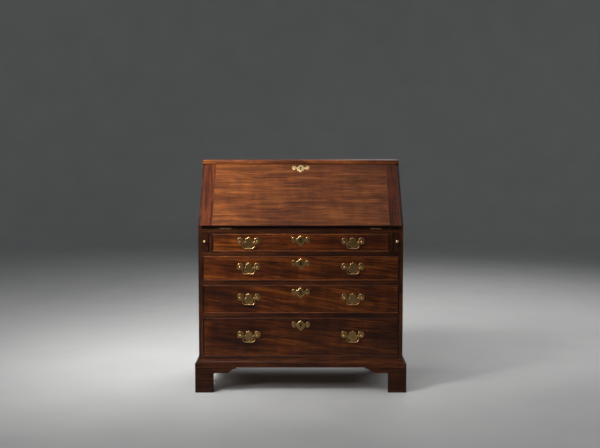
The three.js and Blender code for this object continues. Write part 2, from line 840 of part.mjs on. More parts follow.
// The fall lies flat in its own group, Y up the slope and Z out, and is then turned up
function lipProfile() {
  const shape = new THREE.Shape();
  const round = fallThickness - lipStep;
  shape.moveTo(lipEnd, coreThickness);
  shape.lineTo(lipEnd, round - lipRound);
  shape.absarc(lipEnd - lipRound, round - lipRound, lipRound, 0, Math.PI / 2, false);
  shape.lineTo(lipEnd - lipRound, fallThickness);
  return shape.getPoints(curveSteps);
}

function fallPanel() {
  const outline = [
    [fallHingeGap, 0], [coreEnd, 0], [coreEnd, coreThickness],
    ...lipProfile().map((point) => [point.x, point.y]),
    [fallHingeGap, fallThickness],
  ];
  const body = prism(outline, 'x', -panelHalf, panelHalf);
  const reach = panelHalf + tongueLength;
  const tongueLow = (fallThickness - tongueThickness) / 2;
  const tongue = boxBetween(
    [-reach, tongueInset, tongueLow], [reach, coreEnd - tongueInset, tongueLow + tongueThickness]);
  const rooms = [-hingeX, hingeX].map((x) => hingeRoom(x, -overrun, leafThickness + seatGap, 0));
  const keyLevel = lipEnd - fallKeyholeDrop;
  const keyBore = prism(moved(keyhole(), 0, keyLevel), 'z', -overrun, fallThickness + overrun);
  return cut(join(body, tongue), ...rooms, fallLock(seatGap), keyBore);
}

// The lock's plate, case and edge plate; a growth gives the room that they need
function fallLock(growth) {
  const low = coreEnd - fallLockHeight - growth;
  const high = growth > 0 ? coreEnd + overrun : coreEnd;
  const bottom = growth > 0 ? -overrun : 0;
  const plate = boxBetween(
    [-fallLockHalf - growth, low, bottom],
    [fallLockHalf + growth, high, fallLockPlate + growth],
  );
  const body = boxBetween(
    [-fallLockBodyHalf - growth, low + fallLockBodyMargin, bottom],
    [fallLockBodyHalf + growth, high, fallLockBodyDepth + growth],
  );
  return join(plate, body);
}

// An end cleat: grooved for the panel's tongue, its lip moulded and mitred at the corner
function fallCleat(side) {
  const seam = panelHalf + seatGap;
  const mirror = (low, high) => (side < 0 ? [-high, -low] : [low, high]);
  const slab = (near, far, start, end, bottom, top) => {
    const [low, high] = mirror(near, far);
    return boxBetween([low, start, bottom], [high, end, top]);
  };
  const core = slab(seam, coreHalf, fallHingeGap, coreEnd, 0, fallThickness - lipStep);
  const lip = slab(seam, fallHalf, fallHingeGap, lipEnd, coreThickness, fallThickness);
  const tongueLow = (fallThickness - tongueThickness) / 2;
  const groove = slab(seam - overrun, panelHalf + tongueLength + seatGap, tongueInset - seatGap,
    coreEnd - tongueInset + seatGap, tongueLow - seatGap, tongueLow + tongueThickness + seatGap);
  const waste = lipProfile().map((point) => [point.x - lipEnd, point.y]);
  waste.push([-lipRound, fallThickness + overrun], [overrun, fallThickness + overrun]);
  waste.push([overrun, waste[0][1]]);
  const topOutline = waste.map(([y, z]) => [y + lipEnd, z]);
  const topWaste = prism(topOutline, 'x', ...mirror(seam - overrun, fallHalf + overrun));
  const sideWaste = prism(waste.map(([x, z]) => [side * (x + fallHalf), z]), 'y', -overrun, lipEnd + overrun);
  return cut(join(core, lip), groove, topWaste, sideWaste);
}

// Hinge leaves: one with the outer knuckles and the pin, one with the middle knuckle
function caseLeaf(x) {
  const half = hingeLength / 2;
  const inner = middleKnuckleLength / 2 + knuckleGap;
  const [low, high] = [deskLevel - leafThickness, deskLevel];
  const parts = [boxBetween([x - half, leafStart, low], [x + half, leafWidth, high])];
  for (const side of [-1, 1]) {
    const [start, end] = [x + side * inner, x + side * half].sort((a, b) => a - b);
    parts.push(rod('x', knuckleRadius, start, end, [0, deskLevel], roundSides));
    parts.push(boxBetween([start, 0, low], [end, leafStart + leafThickness, high]));
  }
  parts.push(rod('x', pinRadius, x - half, x + half, [0, deskLevel]));
  return join(...parts);
}

function fallLeaf(x) {
  const half = hingeLength / 2;
  const middle = middleKnuckleLength / 2;
  const plate = boxBetween([x - half, leafStart, 0], [x + half, leafWidth, leafThickness]);
  const tab = boxBetween([x - middle, 0, 0], [x + middle, leafStart + leafThickness, leafThickness]);
  const knuckle = rod('x', knuckleRadius, x - middle, x + middle, [0, 0], roundSides);
  const pinBore = rod('x', pinBoreRadius, x - middle - overrun, x + middle + overrun, [0, 0]);
  return cut(join(plate, tab, knuckle), pinBore);
}

function fallEscutcheon() {
  const level = lipEnd - fallKeyholeDrop;
  const face = fallThickness + seatGap;
  const outline = batwing(escutcheonShares, escutcheonHalfWidth, escutcheonRise, escutcheonDrop);
  const plate = prism(moved(outline, 0, level), 'z', face, face + plateThickness);
  return cut(plate, prism(moved(keyhole(), 0, level), 'z', face - overrun, face + overrun));
}

function makeFall() {
  const fall = new THREE.Group();
  fall.position.z = deskLevel;
  fall.rotation.x = slope;
  bureau.add(fall);
  place('fall_panel', fallPanel(), 'mahogany', fall);
  place('fall_cleat_left', fallCleat(-1), 'mahogany', fall);
  place('fall_cleat_right', fallCleat(1), 'mahogany', fall);
  place('fall_lock', fallLock(0), 'steel', fall);
  place('fall_escutcheon', fallEscutcheon(), 'brass', fall);
  for (const [end, x] of [['left', -hingeX], ['right', hingeX]]) {
    place(`hinge_${end}_case_leaf`, caseLeaf(x), 'brass');
    place(`hinge_${end}_fall_leaf`, fallLeaf(x), 'brass', fall);
  }
}

// A partition between pigeonholes, its front edge sweeping back and out again
function sweptPartition(low, high) {
  const height = high - low;
  const [lower, upper, end] = partitionSweepShares.map((share) => low + share * height);
  const shape = new THREE.Shape();
  shape.moveTo(unitFront, low);
  shape.bezierCurveTo(unitFront + partitionSweep, lower, unitFront + partitionSweep, upper, unitFront, end);
  shape.lineTo(unitFront, high);
  shape.lineTo(unitBack, high);
  shape.lineTo(unitBack, low);
  return shape.getPoints(smallCurveSteps);
}

// A fretted valance over one pigeonhole, arched between its two ends
function valance(low, high, top) {
  const middle = (low + high) / 2;
  const [drop, crown] = [top - valanceDrop, top - valanceArch];
  const shape = new THREE.Shape();
  shape.moveTo(low, top);
  shape.lineTo(low, drop);
  shape.bezierCurveTo((low + middle) / 2, drop, (low + middle) / 2, crown, middle, crown);
  shape.bezierCurveTo((high + middle) / 2, crown, (high + middle) / 2, drop, high, drop);
  shape.lineTo(high, top);
  return shape.getPoints(smallCurveSteps);
}

// The centres of evenly spaced upright panels across the inside of the case
function panelCentres(spaces) {
  const half = innerHalf - unitPanel / 2;
  return Array.from({ length: spaces + 1 }, (_, i) => -half + (2 * half * i) / spaces);
}

function pigeonholeUnit() {
  const [shelfLow, top] = [deskLevel + smallDrawerOpening, topUnderside - seatGap];
  const shelfTop = shelfLow + unitPanel;
  const [half, roof] = [unitPanel / 2, top - unitPanel];
  const parts = [
    boxBetween([-innerHalf, unitFront, shelfLow], [innerHalf, unitBack, shelfTop]),
    boxBetween([-innerHalf, unitFront, roof], [innerHalf, unitBack, top]),
  ];
  for (const x of panelCentres(smallDrawers)) {
    parts.push(boxBetween([x - half, unitFront, deskLevel], [x + half, unitBack, shelfLow + half]));
  }
  const centres = panelCentres(pigeonholes);
  for (const x of centres) {
    parts.push(prism(sweptPartition(shelfTop - half, top - half), 'x', x - half, x + half));
  }
  const valanceFront = unitFront + valanceSetback;
  for (let i = 0; i < pigeonholes; i++) {
    parts.push(prism(valance(centres[i], centres[i + 1], roof + half), 'y',
      valanceFront, valanceFront + valanceThickness));
  }
  return join(...parts);
}

// A small drawer with its turned knob
function smallDrawer(low, high) {
  const [left, right] = [low + smallDrawerGap, high - smallDrawerGap];
  const [bottom, top] = [deskLevel + seatGap, deskLevel + smallDrawerOpening - smallDrawerGap];
  const back = unitBack - smallDrawerBackGap;
  const block = boxBetween([left, unitFront, bottom], [right, back, top]);
  const hollow = boxBetween(
    [left + smallDrawerWall, unitFront + smallDrawerFront, bottom + smallDrawerWall],
    [right - smallDrawerWall, back - smallDrawerWall, top + overrun],
  );
  const rose = { radius: smallKnobNeck, thickness: 0 };
  const stem = { radius: smallKnobNeck, length: smallDrawerFront / 2 };
  const pull = knob(
    (low + high) / 2, (bottom + top) / 2, smallKnobRadius, smallKnobProud, smallKnobNeck, rose, stem);
  return join(cut(block, hollow), pull.translate([0, unitFront, 0]));
}

function makeInterior() {
  place('pigeonholes', pigeonholeUnit(), 'mahogany');
  const centres = panelCentres(smallDrawers);
  for (let i = 0; i < smallDrawers; i++) {
    const [low, high] = [centres[i] + unitPanel / 2, centres[i + 1] - unitPanel / 2];
    place(`small_drawer_${i + 1}`, smallDrawer(low, high), 'mahogany');
  }
}

const openings = drawerOpenings();
const upperDividerTop = openings[0].low;
makeCase(openings);
makeFall();
for (const side of [-1, 1]) makeLoper(side);
openings.forEach(makeDrawer);
makeInterior();

// The origin lies on the floor under the middle of the bureau
bureau.position.y = (mouldingOverhang - caseDepth) / 2;

export default bureau;
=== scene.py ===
# %% [markdown]
# # A slant-front bureau, dressed in Blender
#
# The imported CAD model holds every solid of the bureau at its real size. This script reads
# those places and builds what the eye sees: boards with softened arrises, figured mahogany,
# oak and pine linings, cast brasses and the small ironwork. All lengths are in metres, in the
# same frame as the model: X to the right, Y to the back and Z up from the floor.

# %% Load the frame
import math

import bmesh
import bpy
from bmesh.types import BMEdge, BMFace, BMVert
from mathutils import Matrix, Vector


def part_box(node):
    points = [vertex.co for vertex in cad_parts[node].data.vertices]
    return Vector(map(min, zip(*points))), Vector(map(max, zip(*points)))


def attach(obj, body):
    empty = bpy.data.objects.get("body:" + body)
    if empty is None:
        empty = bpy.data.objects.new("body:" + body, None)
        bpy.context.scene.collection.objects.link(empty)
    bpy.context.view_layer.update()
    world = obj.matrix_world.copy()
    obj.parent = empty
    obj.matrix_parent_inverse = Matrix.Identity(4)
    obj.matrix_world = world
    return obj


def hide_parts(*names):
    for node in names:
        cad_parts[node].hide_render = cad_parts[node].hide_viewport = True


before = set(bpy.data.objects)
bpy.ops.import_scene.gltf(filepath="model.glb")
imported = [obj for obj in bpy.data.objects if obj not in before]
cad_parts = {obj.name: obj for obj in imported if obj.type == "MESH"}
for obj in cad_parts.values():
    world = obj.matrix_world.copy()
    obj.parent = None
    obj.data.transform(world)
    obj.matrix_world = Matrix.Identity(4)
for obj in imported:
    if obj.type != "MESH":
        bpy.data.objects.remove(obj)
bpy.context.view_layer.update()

# %% [markdown]
# ## The camera
#
# The photograph was taken from almost straight in front, a little above the top of the
# bureau, with a fairly long lens. A long lens keeps the verticals nearly parallel. The small
# shift only moves the picture sideways by less than a pixel, as the photograph is framed.
#
# In Blender, data such as a lens, a lamp or a mesh is one thing, and the object that shows it
# in the scene is another, so a helper makes that object for each of them.

# %% The camera at the photograph's place
MM = 0.001
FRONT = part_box("side_left")[0].y
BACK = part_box("side_left")[1].y
PHOTO_WIDTH = 600
FOCAL_PIXELS = 975.6
OBJECT_MIDDLE_PIXEL = 300.75
CAMERA_BACK = 4.328
CAMERA_HEIGHT = 1.096
CAMERA_PITCH = math.radians(4.46)


def new_object(name, data):
    """An object in the scene that shows the data."""
    shown = bpy.data.objects.new(name, data)
    bpy.context.scene.collection.objects.link(shown)
    return shown


lens = bpy.data.cameras.new("photograph_camera")
lens.sensor_width = 36
lens.lens = FOCAL_PIXELS / PHOTO_WIDTH * lens.sensor_width
lens.shift_x = (PHOTO_WIDTH / 2 - OBJECT_MIDDLE_PIXEL) / PHOTO_WIDTH
camera = new_object("photograph_camera", lens)
camera.location = (0, FRONT - CAMERA_BACK, CAMERA_HEIGHT)
camera.rotation_euler = (math.pi / 2 - CAMERA_PITCH, 0, 0)
bpy.context.scene.camera = camera
print("lens:", round(lens.lens, 1), "mm")

# %% [markdown]
# ## Helpers for nodes and colours
#
# A material is a tree of nodes. Writing out every node, setting and link by hand hides the
# idea, so one small function adds a node with its settings and with the sockets that feed it,
# and hands back the socket that the next node reads. The steps that every material takes have
# a name of their own: a noise, a change of range, a colour ramp and a blend of two colours.
# Colours are given as sRGB hex values, and shaders work in linear light.


# %% Nodes and colours
def linear(hex_colour):
    """An sRGB hex value as linear red, green, blue and alpha."""
    channels = [int(hex_colour[i:i + 2], 16) / 255 for i in (1, 3, 5)]
    return [c / 12.92 if c <= 0.04045 else ((c + 0.055) / 1.055) ** 2.4 for c in channels] + [1]


def add(tree, kind, inputs, take=0, **settings):
    """Adds a node and hands back its output called take. A socket in inputs is linked,
    anything else is the input's value."""
    node = tree.nodes.new("ShaderNode" + kind)
    for name, value in settings.items():
        setattr(node, name, value)
    for socket, value in inputs.items():
        if isinstance(value, bpy.types.NodeSocket):
            tree.links.new(value, node.inputs[socket])
        else:
            node.inputs[socket].default_value = value
    return node.outputs[take] if len(node.outputs) else None


def noise(tree, where, scale, detail, **more):
    return add(tree, "TexNoise", {"Vector": where, "Scale": scale, "Detail": detail, **more})


def remap(tree, value, start, end, low, high):
    """Low where the value is at start, high where it is at end."""
    return add(tree, "MapRange", {
        "Value": value, "From Min": start, "From Max": end, "To Min": low, "To Max": high})


def from_noise(tree, value, low, high):
    """A noise hardly leaves 0.3 to 0.7, so that is the range that becomes low to high."""
    return remap(tree, value, 0.3, 0.7, low, high)


def ramp(tree, value, positions, colours):
    """Turns a value into a colour, with a stop for each position and its colour."""
    colour = add(tree, "ValToRGB", {"Fac": value})
    elements = colour.node.color_ramp.elements
    for place, (position, stop_colour) in enumerate(zip(positions, colours)):
        element = elements[place] if place < 2 else elements.new(1)
        element.position, element.color = position, stop_colour
    return colour


def blend(tree, share, one, other):
    """One colour where the share is 0, the other where it is 1."""
    return add(tree, "Mix", {0: share, 6: one, 7: other}, 2, data_type="RGBA")


def scaled(tree, colour, factor):
    return add(tree, "VectorMath", {0: colour, "Scale": factor}, operation="SCALE")


def product(tree, one, other):
    return add(tree, "Math", {0: one, 1: other}, operation="MULTIPLY")


def object_place(tree):
    return add(tree, "TexCoord", {}, "Object")


def new_material(name):
    material = bpy.data.materials.new(name)
    material.use_nodes = True
    material.node_tree.nodes.clear()
    return material, material.node_tree


def close_tree(tree, inputs):
    """Ends a tree with one surface that has those inputs."""
    add(tree, "OutputMaterial", {"Surface": add(tree, "BsdfPrincipled", inputs)})


print("mid mahogany in linear light:", [round(c, 3) for c in linear("#7A4423")])

# %% [markdown]
# ## Floor
#
# A studio cove is a floor that curves up into a wall, so no horizon shows. Here it is turned
# all round the bureau, because the part is looked at from every side. One profile line spun
# about the vertical makes it, and later the same function turns knobs, posts and nails.

# %% The cove
QUARTER = math.pi / 2
FLOOR_RADIUS = 6.5
COVE_RADIUS = 2.0
WALL_HEIGHT = 5.5
CURVE_STEPS = 12
COVE_TURN_STEPS = 72
FLOOR_TONES = ("#CBCBCA", "#D1D1CF")
MERGE = 0.01 * MM


def arc(centre, radii, start, end, steps):
    """Points of an arc between two angles. The radii are the one across and the one up."""
    turns = [start + (end - start) * step / steps for step in range(steps + 1)]
    return [(centre[0] + radii[0] * math.cos(t), centre[1] + radii[1] * math.sin(t))
            for t in turns]


def spun(profile, steps=24):
    """Spins [radius, height] points about Z."""
    shape = bmesh.new()
    line = [shape.verts.new((radius, 0, height)) for radius, height in profile]
    edges = [shape.edges.new(pair) for pair in zip(line, line[1:])]
    bmesh.ops.spin(shape, geom=line + edges, cent=(0, 0, 0), axis=(0, 0, 1),
                   angle=2 * math.pi, steps=steps, use_merge=True, dvec=(0, 0, 0))
    bmesh.ops.remove_doubles(shape, verts=shape.verts, dist=MERGE)
    bmesh.ops.recalc_face_normals(shape, faces=shape.faces)
    return shape


def new_mesh(shape, name):
    """The bmesh as a mesh. The bmesh itself is used up."""
    mesh = bpy.data.meshes.new(name)
    shape.to_mesh(mesh)
    shape.free()
    return mesh


cove_shape = spun([
    (0, 0),
    *arc((FLOOR_RADIUS, COVE_RADIUS), (COVE_RADIUS, COVE_RADIUS), -QUARTER, 0, CURVE_STEPS),
    (FLOOR_RADIUS + COVE_RADIUS, WALL_HEIGHT)], COVE_TURN_STEPS)
bmesh.ops.reverse_faces(cove_shape, faces=cove_shape.faces)
cove_mesh = new_mesh(cove_shape, "studio_cove")
cove_mesh.shade_smooth()
new_object("studio_cove", cove_mesh)

painted_floor, tree = new_material("painted_studio_floor")
specks = noise(tree, object_place(tree), 3.0, 4.0)
close_tree(tree, {
    "Base Color": ramp(tree, specks, (0.3, 0.7), [linear(tone) for tone in FLOOR_TONES]),
    "Roughness": 0.75})
cove_mesh.materials.append(painted_floor)
print("cove faces:", len(cove_mesh.polygons), "points:", len(cove_mesh.vertices))

# %% [markdown]
# ## Lights
#
# The light is plain and soft. As in the photograph, the strongest softbox hangs in front and
# to the left, behind a grid, so that the light falls off to the right and downwards. The ones
# at the sides stand behind the plane of the front: they light the sides and the back, and
# leave the front as it is.


# %% The lights
def softbox(name, place, target, size, power, spread):
    """A square area light at place that faces target, with its size in metres, its power in
    watts and its spread in degrees, which a grid in front of it narrows."""
    light = bpy.data.lights.new(name, "AREA")
    light.shape = "SQUARE"
    light.size = size
    light.energy = power
    light.spread = math.radians(spread)
    lamp = new_object(name, light)
    lamp.location = place
    lamp.rotation_euler = (Vector(target) - Vector(place)).to_track_quat("-Z", "Y").to_euler()


MIDDLE = (0, 0, 0.6)
OPEN = 180
SOFTBOXES = {
    "key": ((-1.9, -1.6, 2.6), (-0.85, -0.1, 1.1), 1.1, 13, 52),
    "top": ((-0.1, -0.6, 3.2), MIDDLE, 2.0, 8, OPEN),
    "fill": ((-1.6, -2.9, 2.0), (-0.5, -0.2, 0.75), 0.7, 2.7, 58),
    "glint": ((-0.5, -2.3, 3.1), MIDDLE, 0.4, 8, OPEN),
    "back": ((1.2, 3.0, 3.0), MIDDLE, 2.0, 34, OPEN),
    "right": ((3.0, 0.7, 2.3), MIDDLE, 1.8, 26, OPEN),
    "left": ((-3.0, 0.7, 2.3), MIDDLE, 1.8, 20, OPEN),
}
AIR_LIGHT = 0.12
for name, settings in SOFTBOXES.items():
    softbox(f"{name}_softbox", *settings)

sky = bpy.data.worlds.new("studio_air")
sky.use_nodes = True
background = sky.node_tree.nodes["Background"]
background.inputs["Color"].default_value = linear("#DDE2E8")
background.inputs["Strength"].default_value = AIR_LIGHT
bpy.context.scene.world = sky
bpy.context.scene.view_settings.view_transform = "Standard"
print("lights:", len(bpy.data.lights))

# %% [markdown]
# ## Mahogany
#
# Eighteenth-century furniture mahogany was planed, stained by age and french polished. The
# eye sees four things: broad bands of lighter and darker heartwood, narrow dark streaks that
# wander down the board, a soft figure that crosses them, and short open pores. Each is a
# noise stretched along the board. A board's length is turned onto the noise's X, so that one
# recipe serves every direction, and a seed moves the pattern, so that no two boards match.

# %% How a board's grain is laid
SLOPE_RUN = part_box("top_board")[0].y - FRONT
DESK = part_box("desk_board")[1].z
NOSE_HEIGHT = 16.8 * MM
FALL_THICKNESS = 22 * MM
slope_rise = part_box("top_board")[1].z - NOSE_HEIGHT - DESK
SLOPE = math.atan2(slope_rise, SLOPE_RUN) - math.asin(
    FALL_THICKNESS / math.hypot(slope_rise, SLOPE_RUN))
GRAIN_TURNS = {
    "across": (0, 0, 0),
    "deep": (0, 0, -QUARTER),
    "upright": (0, QUARTER, 0),
    "fall": (-SLOPE, 0, 0),
    "up_the_slope": (-SLOPE, 0, -QUARTER),
}
SEED_SHIFT = Vector((1.31, 0.77, 0.53))


def lay_board(tree, grain, seed, tilt=0.0):
    """Object coordinates, turned so that the board's length runs along X."""
    return add(tree, "Mapping", {
        "Vector": object_place(tree), "Rotation": Vector(GRAIN_TURNS[grain]) + Vector((0, tilt, 0)),
        "Location": seed * SEED_SHIFT})


def grain_noise(tree, board, feature, detail=2.0, distortion=0.0, take=0):
    """A noise whose features are so many millimetres along and across the board."""
    along, across = feature
    stretch = (1 / (along * MM), 1 / (across * MM), 1 / (across * MM))
    laid = add(tree, "VectorMath", {0: board, 1: stretch}, operation="MULTIPLY")
    return add(tree, "TexNoise", {
        "Vector": laid, "Scale": 1.0, "Detail": detail, "Distortion": distortion}, take)


print("slope of the fall:", round(math.degrees(SLOPE), 2), "degrees")

# %% [markdown]
# ### The recipe
#
# The streaks bend because a slower noise pushes the board's coordinates sideways before they
# are read. The polish is a clear coat over a rougher body. The pores are real at about 0.2 mm
# wide, which is too fine to show, so they are drawn 1 mm wide. Where a board's rounded edges
# are marked as rubbed, handling has worn the stain away in patches. A feature's two sizes are
# the millimetres that it reaches along the board and across it.

# %% Mahogany as a function
DRIFTS, CLOUDS, BANDS = (300, 110), (300, 95), (340, 22)
STREAKS, FIBRES, FIGURES, PORES = (180, 6.5), (95, 4.2), (38, 120), (11, 1.0)
WANDER = 18 * MM
WEAR_PATCH = 22 * MM
BODY_SHINE = 0.08
HEART_STOPS = (0.36, 0.49, 0.62)


def mahogany(name, tones, grain, seed, tilt=0, streaks=0.6, figure=0.14, polish=0.36, tone_and_painted_light=1.0):
    """French-polished mahogany. Tones are its deep, dark, middle and light colours, and the
    tilt of its grain is in degrees. The tone and painted light factor scales how light the wood
    is. For some boards that is only their tone. For others it paints light and shade in: lighter
    where a part should look lit, and darker where it should look shaded."""
    deep, dark, middle, light = [linear(tone) for tone in tones]
    material, tree = new_material(f"{name}_mahogany")
    board = lay_board(tree, grain, seed, math.radians(tilt))
    drift = grain_noise(tree, board, DRIFTS, take="Color")
    bent = add(tree, "VectorMath", {0: drift, 1: (0, 2 * WANDER, 2 * WANDER), 2: board},
               operation="MULTIPLY_ADD")
    clouds = grain_noise(tree, bent, CLOUDS)
    bands = grain_noise(tree, bent, BANDS, 4)
    heart = add(tree, "Mix", {0: 0.52, 2: clouds, 3: bands})
    tone = ramp(tree, heart, HEART_STOPS, (dark, middle, light))
    dark_lines = remap(tree, grain_noise(tree, bent, STREAKS, 4, 0.4), 0.56, 0.38, 0, streaks)
    streaked = blend(tree, dark_lines, tone, deep)
    fine = from_noise(tree, grain_noise(tree, bent, FIBRES, 3), 0.66, 1.34)
    # The figure is scaled by the tone and painted light factor: below 1 the board is darker and
    # above 1 lighter, for some boards only their tone, for others painted shade or a painted
    # highlight.
    gleam = from_noise(tree, grain_noise(tree, bent, FIGURES, 1, 0.3),
                       tone_and_painted_light * (1 - figure), tone_and_painted_light * (1 + figure))
    figured = scaled(tree, streaked, product(tree, fine, gleam))
    pits = remap(tree, grain_noise(tree, board, PORES, 0), 0.58, 0.72, 0, 0.4)
    surface = blend(tree, pits, figured, deep)
    bare = remap(tree, noise(tree, board, 1 / WEAR_PATCH, 3), 0.42, 0.62, 0, 0.85)
    rubbed = add(tree, "Attribute", {}, "Fac", attribute_name="rubbed")
    bump = add(tree, "Bump", {"Height": pits, "Strength": 0.35, "Distance": 0.1 * MM},
               invert=True)
    close_tree(tree, {
        "Base Color": blend(tree, product(tree, bare, rubbed), surface, light),
        "Roughness": from_noise(tree, noise(tree, board, 9, 3), 0.38, 0.52),
        "Normal": bump, "Coat Weight": polish, "Coat Roughness": 0.2,
        "Specular IOR Level": BODY_SHINE})
    return material


FALL_TONES = ("#2A1208", "#572A13", "#733B17", "#975524")
CLEAT_TONES = ("#240C05", "#431C0C", "#602A11", "#7E3D1B")
DRAWER_TONES = ("#1A0803", "#401B09", "#622D0E", "#8A4716")
# The case's tones are darker than the fall's, partly as painted shade for its front edges and
# rails, which get little light.
CASE_TONES = ("#160804", "#2A1207", "#3D1C0B", "#552C12")
# SHADED_TONES are painted shade: near-black wood for faces that should look in shadow, namely the
# fall's lower edge, the key bores and the upright beads.
SHADED_TONES = ("#0E0503", "#160905", "#200E07", "#2B160B")
print("tones of the case, light to dark:", CASE_TONES[::-1])

# %% [markdown]
# ### The boards
#
# Each board of the bureau is a call with its own tones, grain and seed. Some boards are made
# lighter or darker than their tones as painted light: the nose of the top and the front of the
# moulding lighter, as painted highlights, and the feet darker, as painted shade. The drawer
# fronts are listed as seed, tilt of the grain and tone and painted light, from the top: the
# lower ones have wilder figure and are painted darker, as painted shade where the light falls
# off downwards. A drawer's cock bead is painted lighter than its drawer, a painted highlight
# for the light that its round catches, and it is darker on the lower drawers, as they are.

# %% The mahogany boards of this bureau
fall_wood = mahogany("fall_panel", FALL_TONES, "fall", 3.1, 1.5, 0.45, polish=0.3, tone_and_painted_light=0.82)
cleat_wood = mahogany("fall_cleat", CLEAT_TONES, "up_the_slope", 5.7, polish=0.22, tone_and_painted_light=0.78)
top_wood = mahogany("top_board", FALL_TONES, "across", 8.3, tone_and_painted_light=0.85)
# The nose is the top's wood made lighter and glossier: a painted highlight.
painted_highlight_nose_wood = mahogany("top_nose_painted_highlight", FALL_TONES, "across", 9.6, polish=1, tone_and_painted_light=1.2)
side_wood = mahogany("case_side", CASE_TONES, "upright", 1.9)
rail_wood = mahogany("rail", CASE_TONES, "across", 6.4)
# The upright beads, the fall's lower edge and the key bores are near black: painted shade.
painted_shade_bead_end_wood = mahogany("cock_bead_upright_painted_shade", SHADED_TONES, "upright", 4.8, streaks=0.3)
painted_shade_edge_wood = mahogany("fall_edge_painted_shade", SHADED_TONES, "across", 2.2, streaks=0.3, polish=0.1)
loper_wood = mahogany("loper", CASE_TONES, "deep", 2.6)
loper_face_wood = mahogany("loper_face", CASE_TONES, "upright", 3.6, streaks=0.4)
# The moulding's front is the case wood painted lighter, a painted highlight for the light its top
# catches, and the feet and back rail are painted darker, as painted shade.
painted_highlight_moulding_wood = mahogany("moulding", CASE_TONES, "across", 7.7, polish=0.2, tone_and_painted_light=1.35)
painted_shade_base_wood = mahogany("base_front_painted_shade", CASE_TONES, "across", 7.7, polish=0.12, tone_and_painted_light=0.85)
base_side_wood = mahogany("base_side", CASE_TONES, "deep", 9.2, polish=0.25)
inside_wood = mahogany("pigeonhole", FALL_TONES, "across", 10.5, polish=0.2)
inside_upright_wood = mahogany("pigeonhole_upright", FALL_TONES, "upright", 11.4, polish=0.2)

# Columns: seed, tilt of the grain in degrees, and the tone and painted light factor, which falls
# from the top drawer down as painted shade.
DRAWER_CUTS = ((12.7, -2, 0.97), (14.1, -5, 0.8), (15.8, -8, 0.6), (17.3, -6, 0.46))
BEAD_PAINTED_HIGHLIGHT = 1.45
drawer_woods = [mahogany(f"drawer_{number}", DRAWER_TONES, "across", seed, tilt, figure=0.22,
                         tone_and_painted_light=tone_and_painted_light) for number, (seed, tilt, tone_and_painted_light) in enumerate(DRAWER_CUTS, 1)]
painted_light_bead_woods = [mahogany(f"cock_bead_{number}", FALL_TONES, "across", seed / 3, streaks=0.2,
                       polish=1, tone_and_painted_light=BEAD_PAINTED_HIGHLIGHT * tone_and_painted_light)
              for number, (seed, tilt, tone_and_painted_light) in enumerate(DRAWER_CUTS, 1)]
print("mahogany boards:", sum("mahogany" in m.name for m in bpy.data.materials))

# %% [markdown]
# ### Ink on the fall
#
# The photograph shows two dark marks on the fall, where ink has soaked in. A mark is the
# distance from its middle, counted in half sizes of the mark and made ragged by a noise, and
# it goes into the finished material just before the surface's colour.

# %% Two ink marks
INK = "#140C0E"
INK_RAGGED = 70.0


def stain(material, centre, reach, share):
    """A ragged dark patch round a point, of those half sizes in millimetres."""
    tree = material.node_tree
    shader = next(node for node in tree.nodes if node.type == "BSDF_PRINCIPLED")
    clean = shader.inputs["Base Color"].links[0].from_socket
    where = object_place(tree)
    offset = add(tree, "VectorMath", {0: where, 1: centre}, operation="SUBTRACT")
    halves = add(tree, "VectorMath", {0: offset, 1: tuple(1 / (side * MM) for side in reach)},
                 operation="MULTIPLY")
    far = add(tree, "VectorMath", {0: halves}, "Value", operation="LENGTH")
    edge = add(tree, "Math", {0: far, 1: noise(tree, where, INK_RAGGED, 3)})
    marked = blend(tree, remap(tree, edge, 1.7, 0.8, 0, share), clean, linear(INK))
    tree.links.new(marked, shader.inputs["Base Color"])


def up_the_fall(x, distance):
    """A point of the closed fall, so many millimetres up its slope from the hinges."""
    run, rise = distance * MM * math.cos(SLOPE), distance * MM * math.sin(SLOPE)
    return x * MM, FRONT + run, DESK + rise


stain(fall_wood, up_the_fall(155, 118), (34, 14, 14), 0.75)
stain(fall_wood, up_the_fall(285, 150), (5, 16, 16), 0.5)
print("nodes of the fall's wood:", len(fall_wood.node_tree.nodes))

# %% [markdown]
# ## Oak and pine linings
#
# Drawer sides and bottoms were oak, left bare from the plane: pale brown, with straight
# grain and grey dirt in its pores. The back is pine boards, never meant to be seen. Boards
# laid side by side differ in tone, so the position across them is rounded down to a board
# number, and that number picks a tone. No polish, so the surface is dull.

# %% Lining woods as a function
LINING_BANDS, LINING_FIBRES = (600, 24), (45, 1.6)
EVEN_STOPS = (0.3, 0.5, 0.7)


def board_by_board(tree, colour, axis, board_width, edge):
    """Gives each board its own tone. The boards start at an edge and lie side by side."""
    part = add(tree, "SeparateXYZ", {0: object_place(tree)}, axis)
    from_edge = add(tree, "Math", {0: part, 1: edge}, operation="SUBTRACT")
    count = add(tree, "Math", {0: from_edge, 1: board_width}, operation="DIVIDE")
    number = add(tree, "Math", {0: count}, operation="FLOOR")
    chance = add(tree, "TexWhiteNoise", {"W": number}, noise_dimensions="1D")
    return scaled(tree, colour, remap(tree, chance, 0, 1, 0.72, 1.08))


